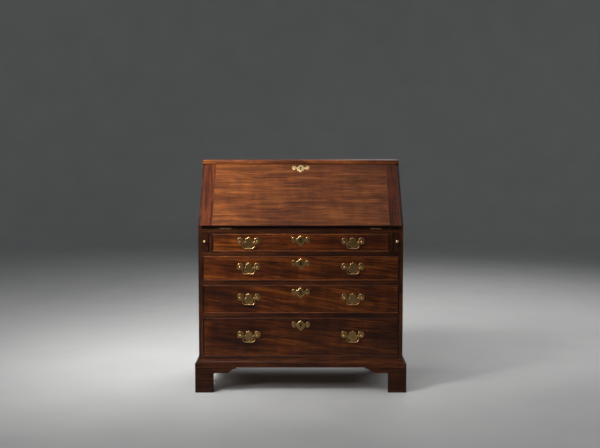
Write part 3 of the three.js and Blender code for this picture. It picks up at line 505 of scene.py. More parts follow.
def lining(name, tones, grain, seed, board_width=0.0, edge=0.0):
    """Bare wood. With a board width, it is made of boards beside each other along X."""
    dark, middle, light = [linear(tone) for tone in tones]
    material, tree = new_material(name)
    board = lay_board(tree, grain, seed)
    tone = ramp(tree, grain_noise(tree, board, LINING_BANDS, 3, 0.3), EVEN_STOPS,
                (dark, middle, light))
    fibres = grain_noise(tree, board, LINING_FIBRES, 3)
    colour = scaled(tree, tone, from_noise(tree, fibres, 0.78, 1.12))
    if board_width:
        colour = board_by_board(tree, colour, "X", board_width, edge)
    dirt = remap(tree, noise(tree, board, 6, 4), 0.5, 0.72, 0, 0.45)
    close_tree(tree, {
        "Base Color": blend(tree, dirt, colour, dark), "Roughness": 0.72,
        "Normal": add(tree, "Bump", {
            "Height": fibres, "Strength": 0.5, "Distance": 0.15 * MM})})
    return material


OAK_TONES = ("#5B4329", "#86683F", "#A3845A")
PINE_TONES = ("#4E3620", "#7A5A36", "#94734A")
BACK_BOARDS = 5
DRAWER_BOARD_WIDTH = 110 * MM
panel_low, panel_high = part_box("back_panel")
back_board_width = (panel_high.x - panel_low.x) / BACK_BOARDS
oak_deep = lining("drawer_side_oak", OAK_TONES, "deep", 2.3)
oak_across = lining("drawer_back_oak", OAK_TONES, "across", 4.9)
oak_bottom = lining("drawer_bottom_oak", OAK_TONES, "deep", 6.1, DRAWER_BOARD_WIDTH)
pine_back = lining("back_board_pine", PINE_TONES, "upright", 8.8, back_board_width, panel_low.x)
pine_across = lining("dust_board_pine", PINE_TONES, "across", 3.7)
print("back board width:", round(back_board_width / MM, 1), "mm")

# %% [markdown]
# ## Brass and iron
#
# The handles are cast brass, filed, polished and lacquered, and long since gone brown where
# no hand or cloth reaches. Metal keeps the default IOR: its colour is all in the base colour.
# A float on each vertex, called grime, says how sheltered a place is, so tarnish gathers
# round the posts and along the edges and not just anywhere.


# %% Metals as a function
def metal(name, dull, worn, bright, smooth, rough, patch_size):
    """Old metal between dull, worn and bright, in patches of that many millimetres."""
    material, tree = new_material(name)
    patches = noise(tree, object_place(tree), 1 / (patch_size * MM), 4, Roughness=0.6)
    tone = ramp(tree, patches, EVEN_STOPS, [linear(colour) for colour in (dull, worn, bright)])
    sheltered = add(tree, "Attribute", {}, "Fac", attribute_name="grime")
    close_tree(tree, {
        "Base Color": blend(tree, sheltered, tone, linear(dull)), "Metallic": 1.0,
        "Roughness": remap(tree, patches, 0.34, 0.66, rough, smooth),
        "Normal": add(tree, "Bump", {
            "Height": patches, "Strength": 0.25, "Distance": 0.1 * MM})})
    return material


drawer_brass = metal("handle_cast_brass", "#7A5B35", "#D6AA68", "#FBDFAB", 0.20, 0.36, 5)
fall_brass = metal("fall_escutcheon_brass", "#AC8B55", "#E2C386", "#FBE4B8", 0.22, 0.34, 4)
hinge_brass = metal("hinge_rolled_brass", "#5E4A2A", "#92784A", "#BFA068", 0.30, 0.45, 12)
lock_iron = metal("lock_filed_iron", "#2E2A27", "#4F4A46", "#75706A", 0.32, 0.55, 7)
nail_iron = metal("nail_forged_iron", "#1D1512", "#2F2520", "#43372F", 0.55, 0.75, 3)
print("brasses:", sum("brass" in m.name for m in bpy.data.materials))

# %% [markdown]
# ## Turning shapes into pieces
#
# A bmesh is a workbench for one shape. When the shape is done, it becomes a mesh on an object
# that rides on one body of the CAD model, so it moves when that body does. An object's place
# is in its mesh, as the CAD nodes' is. Faces may carry different finishes: a small function
# picks one by where the face lies.

# %% Finishing a piece
SMOOTH_UP_TO = math.radians(38)
ENDS = ((-1, "left"), (1, "right"))
made_pieces = []


def even_normals(mesh):
    """Big faces shade flat and the narrow rounds between them shade round.

    Each face corner takes the mean of the normals round its vertex, weighted by area, of
    the faces that turn away from its own face by less than SMOOTH_UP_TO."""
    limit = math.cos(SMOOTH_UP_TO)
    weighted = [(face.normal.copy(), face.normal * face.area) for face in mesh.polygons]
    around = [[] for _ in mesh.vertices]
    for face in mesh.polygons:
        for vertex in face.vertices:
            around[vertex].append(weighted[face.index])
    corners = []
    for face in mesh.polygons:
        own = weighted[face.index][0]
        for vertex in face.vertices:
            near = [heavy for normal, heavy in around[vertex] if own.dot(normal) > limit]
            mean = sum(near, Vector((0, 0, 0)))
            corners.append(mean.normalized() if mean.length > 0 else own)
    mesh.shade_smooth()
    mesh.normals_split_custom_set(corners)


def finish_piece(shape, name, body, finishes, stands_for=None, pick=None):
    """Makes the bmesh a named piece that rides on a body and stands for a CAD node."""
    if pick:
        for face in shape.faces:
            face.material_index = pick(face.calc_center_median(), face.normal)
    mesh = new_mesh(shape, name)
    for finish in finishes:
        mesh.materials.append(finish)
    even_normals(mesh)
    piece = new_object(name, mesh)
    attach(piece, body)
    if stands_for:
        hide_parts(stands_for)
    made_pieces.append(name)


def joined(shapes):
    """One bmesh that holds them all."""
    whole = bmesh.new()
    for shape in shapes:
        holder = new_mesh(shape, "holder")
        whole.from_mesh(holder)
        bpy.data.meshes.remove(holder)
    return whole


def moved(shape, matrix):
    bmesh.ops.transform(shape, matrix=matrix, verts=shape.verts)
    if matrix.determinant() < 0:
        bmesh.ops.reverse_faces(shape, faces=shape.faces)
    return shape


def shifted(shape, *place):
    return moved(shape, Matrix.Translation(place))


# %% [markdown]
# ## Soft arrises on the CAD solids
#
# No board has a knife edge: the maker took it off with a stroke of the plane, and two
# centuries of dusting did the rest. That narrow round catches a line of light, which is what
# makes wood look solid. A copy of the CAD solid is merged from loose triangles, its flat
# faces are dissolved back to whole ones, and its outer edges are bevelled.

# %% Softened copies
ARRIS = 0.8 * MM
SHARP = math.radians(30)
FLAT = math.radians(0.5)


def soften(shape, radius=ARRIS, segments=2, only=None):
    """Rounds the outer edges of a shape, or those that a function picks, and marks the rounds
    as rubbed, so that the woods can show wear there."""
    rubbed = shape.faces.layers.float.get("rubbed") or shape.faces.layers.float.new("rubbed")
    edges = [
        edge for edge in shape.edges
        if len(edge.link_faces) == 2 and edge.is_convex
        and edge.calc_face_angle() > SHARP and (only is None or only(edge))
    ]
    made = bmesh.ops.bevel(shape, geom=edges, offset=radius, offset_type="OFFSET",
                           segments=segments, profile=0.5, affect="EDGES", clamp_overlap=True,
                           material=-1)
    for face in made["faces"]:
        face[rubbed] = 1.0
    return shape


def cad_copy(node):
    """A merged copy of a CAD solid, with its flat faces whole again."""
    shape = bmesh.new()
    shape.from_mesh(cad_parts[node].data)
    bmesh.ops.remove_doubles(shape, verts=shape.verts, dist=MERGE)
    bmesh.ops.dissolve_limit(shape, angle_limit=FLAT, use_dissolve_boundaries=False,
                             verts=shape.verts, edges=shape.edges, delimit={"NORMAL"})
    return shape


def board(low, high, radius=0.75 * ARRIS):
    """A plain board between two corners, with soft arrises."""
    low, high = Vector(low), Vector(high)
    shape = bmesh.new()
    bmesh.ops.create_cube(shape, size=1)
    bmesh.ops.scale(shape, vec=high - low, verts=shape.verts)
    bmesh.ops.translate(shape, vec=(high + low) / 2, verts=shape.verts)
    return soften(shape, radius)


trial = cad_copy("side_left")
print("side_left:", len(trial.faces), "faces before softening")
trial.free()

# %% [markdown]
# ## The case
#
# The sides are single wide boards with upright grain, and the top board laps them. The rails
# between the drawers are mahogany only where they show: behind the front strip the runners
# are oak and the dust boards are thin pine, so faces further back than that take those.

# %% Sides, top and rails
NOSE_ROUND = 5 * MM
RAIL_DEPTH = 60 * MM
BEAD_DEPTH = 4 * MM
RUNNER_WIDTH = 52 * MM
HALF_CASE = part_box("side_right")[1].x
HALF_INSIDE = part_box("desk_board")[1].x
RAILS = ("bottom_board", "drawer_divider_upper", "drawer_divider_middle", "drawer_divider_lower")
top_low, top_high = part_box("top_board")


def on_the_nose(edge):
    """The long upper edge of the top board's front."""
    return all(vert.co.y < top_low.y + MM and vert.co.z > top_high.z - MM for vert in edge.verts)


def top_finish(centre, normal):
    """The front edge takes the nose's finish, the top's wood made lighter: a painted highlight."""
    return int(centre.y < top_low.y + NOSE_ROUND and normal.y < -0.1)


def split_at(shape, point, normal, **more):
    """Cuts the faces along a plane, so that each side can take its own finish."""
    return bmesh.ops.bisect_plane(shape, geom=[*shape.verts, *shape.edges, *shape.faces],
                                  plane_co=point, plane_no=normal, **more)


def dress(node, name, body, finishes, pick=None, radius=ARRIS / 2, cuts=()):
    """A softened copy of a CAD solid as a piece. A cut is a plane's point and normal."""
    shape = cad_copy(node)
    for cut in cuts:
        split_at(shape, *cut)
    finish_piece(soften(shape, radius), name, body, finishes, node, pick)


def dress_front(node, name, body, depth, finishes, **more):
    """The same with one finish in front and another further back than that depth."""
    dress(node, name, body, finishes, lambda centre, normal: int(centre.y > FRONT + depth),
          cuts=[((0, FRONT + depth, 0), (0, 1, 0))], **more)


def rail_finish(centre, normal):
    """Mahogany in front, oak for the runners at the sides and pine for the dust board."""
    if centre.y < FRONT + RAIL_DEPTH:
        return 0
    return 1 if abs(centre.x) > HALF_INSIDE - RUNNER_WIDTH else 2


for side, end in ENDS:
    dress(f"side_{end}", f"side_{end}_board", "case", [side_wood], radius=ARRIS)
top = soften(soften(cad_copy("top_board"), NOSE_ROUND, 4, on_the_nose))
finish_piece(top, "top_board_and_lock_rail", "case", [top_wood, painted_highlight_nose_wood], "top_board",
             top_finish)
rail_cuts = [((0, FRONT + RAIL_DEPTH, 0), (0, 1, 0))]
rail_cuts += [((side * (HALF_INSIDE - RUNNER_WIDTH), 0, 0), (1, 0, 0)) for side, end in ENDS]
for name in RAILS:
    dress(name, f"{name}_rail", "case", [rail_wood, oak_deep, pine_across], rail_finish,
          cuts=rail_cuts)
dress_front("desk_board", "desk_board_panel", "case", BEAD_DEPTH, [rail_wood, inside_wood])
print("case pieces so far:", len(made_pieces))

# %% [markdown]
# ## The back
#
# Five rough pine boards, each with its edges eased so that a shadow line shows between them,
# nailed at top and bottom and to the desk board. A forged nail's head is a low dome, spun
# from four points and turned to face backwards.

# %% Back boards and nails
NAIL_HEAD = 3.2 * MM
NAIL_INSET = 14 * MM
NAIL_PROUD = 0.6 * MM
TACK_SIDES = 12
NAIL_PROFILE = [(0, 0.4 * MM), (0.6 * NAIL_HEAD, 0.3 * MM), (NAIL_HEAD, 0), (0, -MM)]
EASED = 1.6 * MM
BACK_FACE = panel_high.y - NAIL_PROUD


def facing(direction, place):
    """The matrix that turns +Z to a direction and moves the middle to a place."""
    turn = Vector(direction).to_track_quat("Z", "Y").to_matrix().to_4x4()
    return Matrix.Translation(place) @ turn


nails = []
for number in range(BACK_BOARDS):
    left = panel_low.x + number * back_board_width
    shape = board((left, panel_low.y, panel_low.z),
                  (left + back_board_width, BACK_FACE, panel_high.z), EASED)
    finish_piece(shape, f"back_board_{number + 1}", "case", [pine_back],
                 "back_panel" if number == 0 else None)
    for share in (0.2, 0.8):
        for height in (panel_low.z + NAIL_INSET, DESK, panel_high.z - NAIL_INSET):
            place = (left + share * back_board_width, BACK_FACE, height)
            nails.append(moved(spun(NAIL_PROFILE, TACK_SIDES), facing((0, 1, 0), place)))
print("nails:", len(nails))
finish_piece(joined(nails), "back_board_nails", "case", [nail_iron])

# %% [markdown]
# ## The base moulding
#
# The moulding under the case is planed in straight lengths and mitred at the front corners.
# One outline, with its cove as an arc, is extruded along each run, and a slanting plane cuts
# the mitre. The brackets of the feet are made the same way.


# %% Extruding an outline and cutting a mitre
def of_kind(kind, parts):
    """The points, edges or faces among the parts that an operator gives back."""
    return [part for part in parts if isinstance(part, kind)]


def slab(outline, thickness):
    """A plate with that outline in the XY plane, from Z 0 up to its thickness."""
    shape = bmesh.new()
    face = shape.faces.new([shape.verts.new((x, y, 0)) for x, y in outline])
    grown = bmesh.ops.extrude_face_region(shape, geom=[face], use_keep_orig=True)
    bmesh.ops.translate(shape, vec=(0, 0, thickness), verts=of_kind(BMVert, grown["geom"]))
    bmesh.ops.recalc_face_normals(shape, faces=shape.faces)
    return shape


def cut_off(shape, point, normal):
    """Takes away what lies beyond a plane and closes the cut."""
    cut = split_at(shape, point, normal, clear_outer=True)
    bmesh.ops.triangle_fill(shape, edges=of_kind(BMEdge, cut["geom_cut"]), use_beauty=True)
    bmesh.ops.dissolve_limit(shape, angle_limit=FLAT, verts=shape.verts, edges=shape.edges)
    bmesh.ops.recalc_face_normals(shape, faces=shape.faces)
    return shape


def placed(right, up, place):
    """A matrix that lays flat X along right, flat Y along up, and Z along their normal."""
    right, up = Vector(right), Vector(up)
    turn = Matrix((right, up, right.cross(up))).transposed().to_4x4()
    return Matrix.Translation(place) @ turn


base_low, base_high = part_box("base_moulding")
LEDGE = 40 * MM
FILLET = 18 * MM
COVE_RUN, COVE_RISE = 15 * MM, 18 * MM
OVERHANG = FRONT - base_low.y
LEDGE_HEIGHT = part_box("side_left")[0].z - base_low.z
UP = (0, 0, 1)
base_outline = [
    (-LEDGE, 0), (OVERHANG, 0),
    *arc((OVERHANG, FILLET + COVE_RISE), (COVE_RUN, COVE_RISE), -QUARTER, -2 * QUARTER,
         CURVE_STEPS),
    (0, FILLET + COVE_RISE), (0, LEDGE_HEIGHT), (-LEDGE, LEDGE_HEIGHT)]
print("moulding outline points:", len(base_outline))

# %% [markdown]
# ### The runs
#
# The front run is laid from right to left and cut at both corners. The right run is laid from
# the back to the front and cut once, and the left run is its mirror image. A plain rail joins
# them behind.

# %% The moulding
front_run = slab(base_outline, base_high.x - base_low.x)
moved(front_run, placed((0, -1, 0), UP, (base_high.x, FRONT, base_low.z)))
for side, end in ENDS:
    cut_off(front_run, (side * HALF_CASE, FRONT, 0), (side, 1, 0))
finish_piece(soften(front_run), "base_moulding_front", "case", [painted_highlight_moulding_wood],
             "base_moulding")
for side, end in ENDS:
    run = slab(base_outline, BACK - base_low.y)
    moved(run, placed((1, 0, 0), UP, (HALF_CASE, BACK, base_low.z)))
    cut_off(run, (HALF_CASE, FRONT, 0), (-1, -1, 0))
    moved(run, Matrix.Diagonal((side, 1, 1, 1)))
    finish_piece(soften(run), f"base_moulding_{end}", "case", [base_side_wood])
back_rail = board((LEDGE - HALF_CASE, BACK - LEDGE, base_low.z),
                  (HALF_CASE - LEDGE, BACK, base_low.z + LEDGE_HEIGHT))
finish_piece(back_rail, "base_back_rail", "case", [painted_shade_base_wood])
print("case pieces so far:", len(made_pieces))

# %% [markdown]
# ## The feet
#
# The feet are brackets sawn from a plank and mitred together at the corner over a glue block.
# Each bracket is drawn once, from its outer corner inwards: the straight foot, a small round
# into the soffit, and a stepped curve that runs out under the moulding. The mitre is the
# plane halfway between the two faces of the corner, so the grain turns the corner there. The
# brackets that face the wall are plain.

# %% Outlines made of arcs and curves
FOOT_WIDTH = 82 * MM
BRACKET_THICKNESS = 20 * MM
BRACKET_LENGTH = 185 * MM
BACK_BRACKET_LENGTH = 134 * MM
SOFFIT = 89 * MM
SOFFIT_ARC = 8 * MM
CURVE_START = 134 * MM
BRACKET_TIP = 5 * MM
SOFFIT_STEPS, TIP_STEPS = 8, 10
GLUE_BLOCK = 38 * MM
GLUE_BLOCK_LIFT = 6 * MM
FOOT_HEIGHT = base_low.z


def curve(points, steps):
    """Points along a Bezier curve with three or four control points, without its start."""
    power = len(points) - 1
    line = []
    for step in range(1, steps + 1):
        t = step / steps
        weights = [math.comb(power, k) * t ** k * (1 - t) ** (power - k) for k in range(power + 1)]
        line.append(tuple(sum(w * p[axis] for w, p in zip(weights, points)) for axis in (0, 1)))
    return line


def bracket_outline():
    run = BRACKET_LENGTH - CURVE_START
    tip = FOOT_HEIGHT - BRACKET_TIP
    return [
        (0, 0), (FOOT_WIDTH, 0),
        *arc((FOOT_WIDTH + SOFFIT_ARC, SOFFIT - SOFFIT_ARC), (SOFFIT_ARC, SOFFIT_ARC),
             2 * QUARTER, QUARTER, SOFFIT_STEPS),
        (CURVE_START, SOFFIT),
        *curve([(CURVE_START, SOFFIT), (CURVE_START + 0.6 * run, SOFFIT),
                (CURVE_START + 0.45 * run, tip), (BRACKET_LENGTH, tip)], TIP_STEPS),
        (BRACKET_LENGTH, FOOT_HEIGHT), (0, FOOT_HEIGHT)]


def plain_outline():
    return [(0, 0), (FOOT_WIDTH, 0), (BACK_BRACKET_LENGTH, FOOT_HEIGHT - BRACKET_TIP),
            (BACK_BRACKET_LENGTH, FOOT_HEIGHT), (0, FOOT_HEIGHT)]


print("bracket outline points:", len(bracket_outline()))

# %% [markdown]
# ### Four feet
#
# A bracket is a slab with its mitre cut, stood up at its corner. Its outline runs inwards
# from there, and the slab's thickness grows inwards too. The glue block fills the corner and
# stays a little off the floor.


# %% Brackets and glue blocks
def bracket(outline, corner, inwards, outwards):
    """One bracket with its mitre, its outer corner on the floor at a point."""
    shape = shifted(slab(outline, BRACKET_THICKNESS), 0, 0, -BRACKET_THICKNESS)
    cut_off(shape, (0, 0, 0), (-1, 0, -1))
    turn = Matrix((inwards, UP, outwards)).transposed().to_4x4()
    return soften(moved(shape, Matrix.Translation(corner) @ turn))


for place, y, into in (("front", base_low.y, 1), ("back", BACK, -1)):
    for side, end in ENDS:
        foot = f"foot_{place}_{end}"
        corner = Vector((side * base_high.x, y, 0))
        outline = bracket_outline() if place == "front" else plain_outline()
        finish_piece(bracket(outline, corner, (-side, 0, 0), (0, -into, 0)),
                     f"{foot}_{place}_bracket", "case", [painted_shade_base_wood], foot)
        finish_piece(bracket(bracket_outline(), corner, (0, into, 0), (side, 0, 0)),
                     f"{foot}_side_bracket", "case", [base_side_wood])
        inward = Vector((-side, into, 0))
        near, far = (corner + inward * reach
                     for reach in (BRACKET_THICKNESS, BRACKET_THICKNESS + GLUE_BLOCK))
        block = board((min(near.x, far.x), min(near.y, far.y), GLUE_BLOCK_LIFT),
                      (max(near.x, far.x), max(near.y, far.y), FOOT_HEIGHT), 2 * ARRIS)
        finish_piece(block, f"{foot}_glue_block", "case", [oak_deep])
print("pieces so far:", len(made_pieces))

# %% [markdown]
# ## The fall
#
# The sloping front is a wide panel clamped between two cleats, whose grain runs the other way
# to keep it flat. Its edge has a thumb moulding: a small step and a round that ends in a lip
# over the case. The CAD solid has those shapes, so a softened copy carries the finish. Here
# two finishes meet: the panel's grain runs across and the cleats' grain up the slope.

# %% Cleats
KEY_BORE_HALF = 4.5 * MM
down_the_slope = Vector((0, -math.cos(SLOPE), -math.sin(SLOPE)))
out_of_the_slope = Vector((0, -math.sin(SLOPE), math.cos(SLOPE)))
fall_turn = Matrix.Translation((0, FRONT, DESK)) @ Matrix.Rotation(SLOPE, 4, "X")


def fall_finish(centre, normal):
    """The lower edge and the key bore take the dark finish, painted shade for faces that the light
    hardly reaches.
    """
    in_key_bore = abs(centre.x) < KEY_BORE_HALF and abs(normal.dot(out_of_the_slope)) < 0.5
    return int(normal.dot(down_the_slope) > 0.9 or in_key_bore)


for side, end in ENDS:
    dress(f"fall_cleat_{end}", f"fall_end_cleat_{end}", "fall", [cleat_wood, painted_shade_edge_wood],
          fall_finish)
LIP_END = SLOPE_RUN * math.cos(SLOPE) + slope_rise * math.sin(SLOPE) - 0.5 * MM
print("length of the slope:", round(LIP_END, 4), "m")

# %% [markdown]
# ## Cutting holes
#
# A keyhole goes right through a plate, and a handle's post is drilled for its bail. Blender's
# Boolean modifier takes one closed shape out of another. It works on objects, so both shapes
# become objects for a moment, and the result comes back as a bmesh.


# %% One shape carved by another
def carved(shape, cutter):
    holders = [new_object(name, new_mesh(source, name))
               for source, name in ((shape, "carving"), (cutter, "cutter"))]
    cut = holders[0].modifiers.new("cut", "BOOLEAN")
    cut.operation = "DIFFERENCE"
    cut.solver = "EXACT"
    cut.object = holders[1]
    graph = bpy.context.evaluated_depsgraph_get()
    result = bmesh.new()
    result.from_mesh(holders[0].evaluated_get(graph).to_mesh())
    for holder in holders:
        mesh = holder.data
        bpy.data.objects.remove(holder)
        bpy.data.meshes.remove(mesh)
    return result


square = [(0, 0), (MM, 0), (MM, MM), (0, MM)]
notched = carved(slab(square, MM), shifted(slab(square, MM), MM / 2, MM / 2, MM / 2))
print("a cube without a corner has", len(notched.faces), "faces")
notched.free()

# %% [markdown]
# ## Bat-wing brasses
#
# The plates are the same family of shape: a pointed shield between two round wings. Half the
# outline is a chain of quadratic curves, given as shares of the plate's half width and of its
# rise or drop, and the other half mirrors it. The cast face sinks towards its rim, and that
# round is rubbed bright, while the field inside it has gone brown. A flat face has no points
# to sink, so planes cut it into small cells first.

# %% Outlines of the plates
ESCUTCHEON_SHARES = (
    (0.04, 0.86, 0.12, 0.74), (0.30, 0.46, 0.42, 0.18), (0.50, 0.04, 0.56, 0.12),
    (0.58, 0.58, 0.78, 0.58), (1.00, 0.58, 1.00, 0.04), (1.00, -0.28, 0.90, -0.38),
    (0.84, -0.56, 0.72, -0.52), (0.62, -0.46, 0.60, -0.26), (0.54, -0.18, 0.49, -0.26),
    (0.45, -0.58, 0.20, -0.76), (0.14, -0.80, 0.14, -0.87), (0.13, -1.00, 0.00, -1.00),
)
BACKPLATE_SHARES = (
    (0.03, 0.86, 0.12, 0.78), (0.24, 0.76, 0.27, 0.55), (0.30, 0.30, 0.27, 0.08),
    (0.27, -0.02, 0.36, -0.02), (0.46, -0.02, 0.475, 0.16), (0.475, 0.85, 0.745, 0.85),
    (1.00, 0.85, 1.00, 0.16), (1.00, -0.37, 0.75, -0.37), (0.62, -0.37, 0.53, -0.22),
    (0.49, -0.16, 0.43, -0.21), (0.38, -0.26, 0.395, -0.42), (0.40, -0.62, 0.31, -0.72),
    (0.24, -0.80, 0.12, -0.86), (0.05, -0.90, 0.00, -1.00),
)


def batwing(shares, half_width, rise, drop, steps=8):
    """The whole outline of a plate, from half of it."""
    def at(across, up):
        return (across * half_width, up * (rise if up > 0 else drop))
    half = [at(0, 1)]
    for control_x, control_y, end_x, end_y in shares:
        half += curve([half[-1], at(control_x, control_y), at(end_x, end_y)], steps)
    return half + [(-x, y) for x, y in half[-2:0:-1]]


PLATE_OUTLINE = batwing(BACKPLATE_SHARES, 51 * MM, 21 * MM, 30 * MM)
KEY_PLATE_HALF, KEY_PLATE_RISE = 40 * MM, 18.5 * MM
KEY_PLATE_OUTLINE = batwing(ESCUTCHEON_SHARES, KEY_PLATE_HALF, KEY_PLATE_RISE, 28.5 * MM)
print("outlines:", len(PLATE_OUTLINE), "and", len(KEY_PLATE_OUTLINE), "points")

# %% [markdown]
# ### The cast face
#
# Each point of the face asks how far away the rim is. That distance says how deep the point
# sinks, and later how brown its brass is.

# %% A cast plate
PLATE_THICKNESS = 1.2 * MM
RIM_WIDTH, RIM_FALL = 2.2 * MM, 0.8 * MM
CELL, CELL_SHIFT = 1.3 * MM, 0.1 * MM
FIELD_GRIME = 0.55


def note_grime(shape, sheltered):
    """Writes how sheltered each vertex is, from 0 to 1, for the metals to read."""
    layer = shape.verts.layers.float.new("grime")
    for vert in shape.verts:
        vert[layer] = sheltered(vert.co)
    return shape


def rim_distance(at, outline):
    """How far a point of the plate's face lies from its outline."""
    distances = []
    for start, end in zip(outline, outline[1:] + outline[:1]):
        start, along = Vector(start), Vector(end) - Vector(start)
        share = (at.xy - start).dot(along) / along.length_squared
        distances.append((at.xy - start - min(max(share, 0), 1) * along).length)
    return min(distances)


def field(at, outline):
    """None at the rim, and all of it where the field inside the rim begins."""
    return min(rim_distance(at, outline) / (1.6 * RIM_WIDTH), 1)


def cast_plate(outline):
    """A thin cast plate. Its face is cut into small cells, which then sink towards the rim."""
    plate = slab(outline, PLATE_THICKNESS)
    for across in (Vector((1, 0, 0)), Vector((0, 1, 0))):
        reach = int(max(abs(Vector((*point, 0)).dot(across)) for point in outline) / CELL)
        for step in range(-reach, reach + 1):
            faces = [face for face in plate.faces if face.normal.z > 0.5]
            edges = {edge for face in faces for edge in face.edges}
            verts = {vert for face in faces for vert in face.verts}
            bmesh.ops.bisect_plane(plate, geom=[*faces, *edges, *verts], dist=MERGE,
                                   plane_co=(step * CELL + CELL_SHIFT) * across, plane_no=across)
    for vert in plate.verts:
        if vert.co.z > PLATE_THICKNESS / 2:
            inward = min(rim_distance(vert.co, outline) / RIM_WIDTH, 1)
            vert.co.z -= RIM_FALL * (1 - inward) ** 2
    return plate


print("rim falls by", round(RIM_FALL / MM, 1), "mm")

# %% [markdown]
# ### Keyholes
#
# A keyhole is a round hole over a slot. The wood behind the plate is cut a hair wider than
# the brass, so that only brass shows at the hole's edge. The panel of the fall is made here
# too, since the key goes through it.

# %% Keyhole plates
KEYHOLE_RADIUS, KEYHOLE_SLOT, KEYHOLE_LENGTH = 4.2 * MM, 4.8 * MM, 13.5 * MM
KEY_EASE = 0.05 * MM
KEY_WAY_DEPTH, KEY_WAY_START = 40 * MM, -10 * MM
FALL_KEYHOLE_DROP = 24 * MM
PLATE_LIFT = 0.3 * MM
KEYHOLE_STEPS = 20
PIN_PROFILE = [(0, 0.5 * MM), (0.8 * MM, 0.35 * MM), (1.2 * MM, 0), (0, -0.3 * MM)]


def keyhole_outline(ease=0.0):
    """A round hole over a slot, wider all round by that much."""
    half, radius, end = KEYHOLE_SLOT / 2 + ease, KEYHOLE_RADIUS + ease, -KEYHOLE_LENGTH - ease
    turn = math.asin(half / radius)
    return [(-half, end), (half, end),
            *arc((0, 0), (radius, radius), turn - QUARTER, 3 * QUARTER - turn, KEYHOLE_STEPS)]


def escutcheon(tarnish):
    """A keyhole plate lying flat: its face up, its keyhole at the middle."""
    bore = shifted(slab(keyhole_outline(), 3 * PLATE_THICKNESS), 0, 0, -PLATE_THICKNESS)
    plate = carved(cast_plate(KEY_PLATE_OUTLINE), bore)
    pins = [shifted(spun(PIN_PROFILE, TACK_SIDES), side * 0.8 * KEY_PLATE_HALF,
                    0.1 * KEY_PLATE_RISE, PLATE_THICKNESS) for side, end in ENDS]
    return note_grime(joined([plate, *pins]), lambda at: tarnish * field(at, KEY_PLATE_OUTLINE))


def stood(shape, place):
    """Stands a flat-lying shape up against the drawer fronts, its middle at a place."""
    return moved(shape, Matrix.Translation(place) @ Matrix.Rotation(QUARTER, 4, "X"))


def on_the_fall(shape, distance, height):
    """Lays a flat shape on the closed fall: so far up its slope, so far out of its back."""
    return moved(shape, fall_turn @ Matrix.Translation((0, distance, height)))


def fall_key_way():
    """What the key takes out of the fall and its lock."""
    return on_the_fall(slab(keyhole_outline(KEY_EASE), KEY_WAY_DEPTH),
                       LIP_END - FALL_KEYHOLE_DROP, KEY_WAY_START)


panel = soften(carved(cad_copy("fall_panel"), fall_key_way()), ARRIS / 2)
finish_piece(panel, "fall_front_panel", "fall", [fall_wood, painted_shade_edge_wood], "fall_panel", fall_finish)
fall_plate = on_the_fall(escutcheon(0.1), LIP_END - FALL_KEYHOLE_DROP,
                         FALL_THICKNESS + PLATE_LIFT)
finish_piece(fall_plate, "fall_keyhole_plate", "fall", [fall_brass], "fall_escutcheon")
print("keyhole:", round((KEYHOLE_RADIUS + KEYHOLE_LENGTH) / MM, 1), "mm high")

# %% [markdown]
# ## Handles
#
# A post goes through the plate and the drawer front, and a nut holds it inside. Its head is
# turned: a dome, a narrow waist and a foot that spreads on the plate. It is spun from one
# profile, from the top of its head to the end of its rod, and drilled for the bail.

# %% Posts
POST_HALF = 38.5 * MM
HEAD_RADIUS = 5.6 * MM
POST_NECK = 4.2 * MM
POST_PROUD = 15 * MM
BAIL_AXIS = 8.6 * MM
ROD_RADIUS = 2.4 * MM
FRONT_THICKNESS = 20 * MM
NUT_RADIUS, NUT_THICKNESS, NUT_EASE, NUT_GAP = 5.6 * MM, 3.6 * MM, 0.6 * MM, 0.3 * MM
ROD_END = 26 * MM
BAIL_BORE = 1.9 * MM
BORE_DEPTH, BORE_OVERRUN = 3 * MM, 2 * MM
TURNED_SIDES, BORE_SIDES = 28, 16


def post_profile():
    """Radius and height of a post, from the top of its head to the end of its rod."""
    dome = [(HEAD_RADIUS * math.sin(t), BAIL_AXIS + (POST_PROUD - BAIL_AXIS) * math.cos(t))
            for t in [math.radians(a) for a in (40, 55, 70, 84)]]
    foot = 1.28 * POST_NECK
    waist = [
        (HEAD_RADIUS, BAIL_AXIS + 0.3 * MM), (HEAD_RADIUS, BAIL_AXIS - 2.2 * MM),
        (0.9 * HEAD_RADIUS, BAIL_AXIS - 3.1 * MM), (POST_NECK, BAIL_AXIS - 4.4 * MM),
        (0.94 * POST_NECK, 3.2 * MM), (1.1 * POST_NECK, 2.2 * MM), (foot, 1.5 * MM),
        (foot, 0.8 * PLATE_THICKNESS)]
    nut_face = -FRONT_THICKNESS - NUT_GAP
    nut_end = nut_face - NUT_THICKNESS
    rod = [
        (ROD_RADIUS, 0.8 * PLATE_THICKNESS), (ROD_RADIUS, nut_face), (NUT_RADIUS, nut_face),
        (NUT_RADIUS, nut_end + NUT_EASE), (NUT_RADIUS - NUT_EASE, nut_end),
        (ROD_RADIUS, nut_end), (ROD_RADIUS, -ROD_END), (0, -ROD_END)]
    return [(0, POST_PROUD), (0.34 * HEAD_RADIUS, 0.995 * POST_PROUD)] + dome + waist + rod


def handle_post(side):
    """A post at its place on the plate, drilled on its inner side for the bail."""
    reach = HEAD_RADIUS + BORE_DEPTH + BORE_OVERRUN
    bore = spun([(0, 0), (BAIL_BORE, 0), (BAIL_BORE, reach), (0, reach)], BORE_SIDES)
    start = (side * (POST_HALF + BORE_DEPTH), 0, BAIL_AXIS)
    return carved(shifted(spun(post_profile(), TURNED_SIDES), side * POST_HALF, 0, 0),
                  moved(bore, facing((-side, 0, 0), start)))


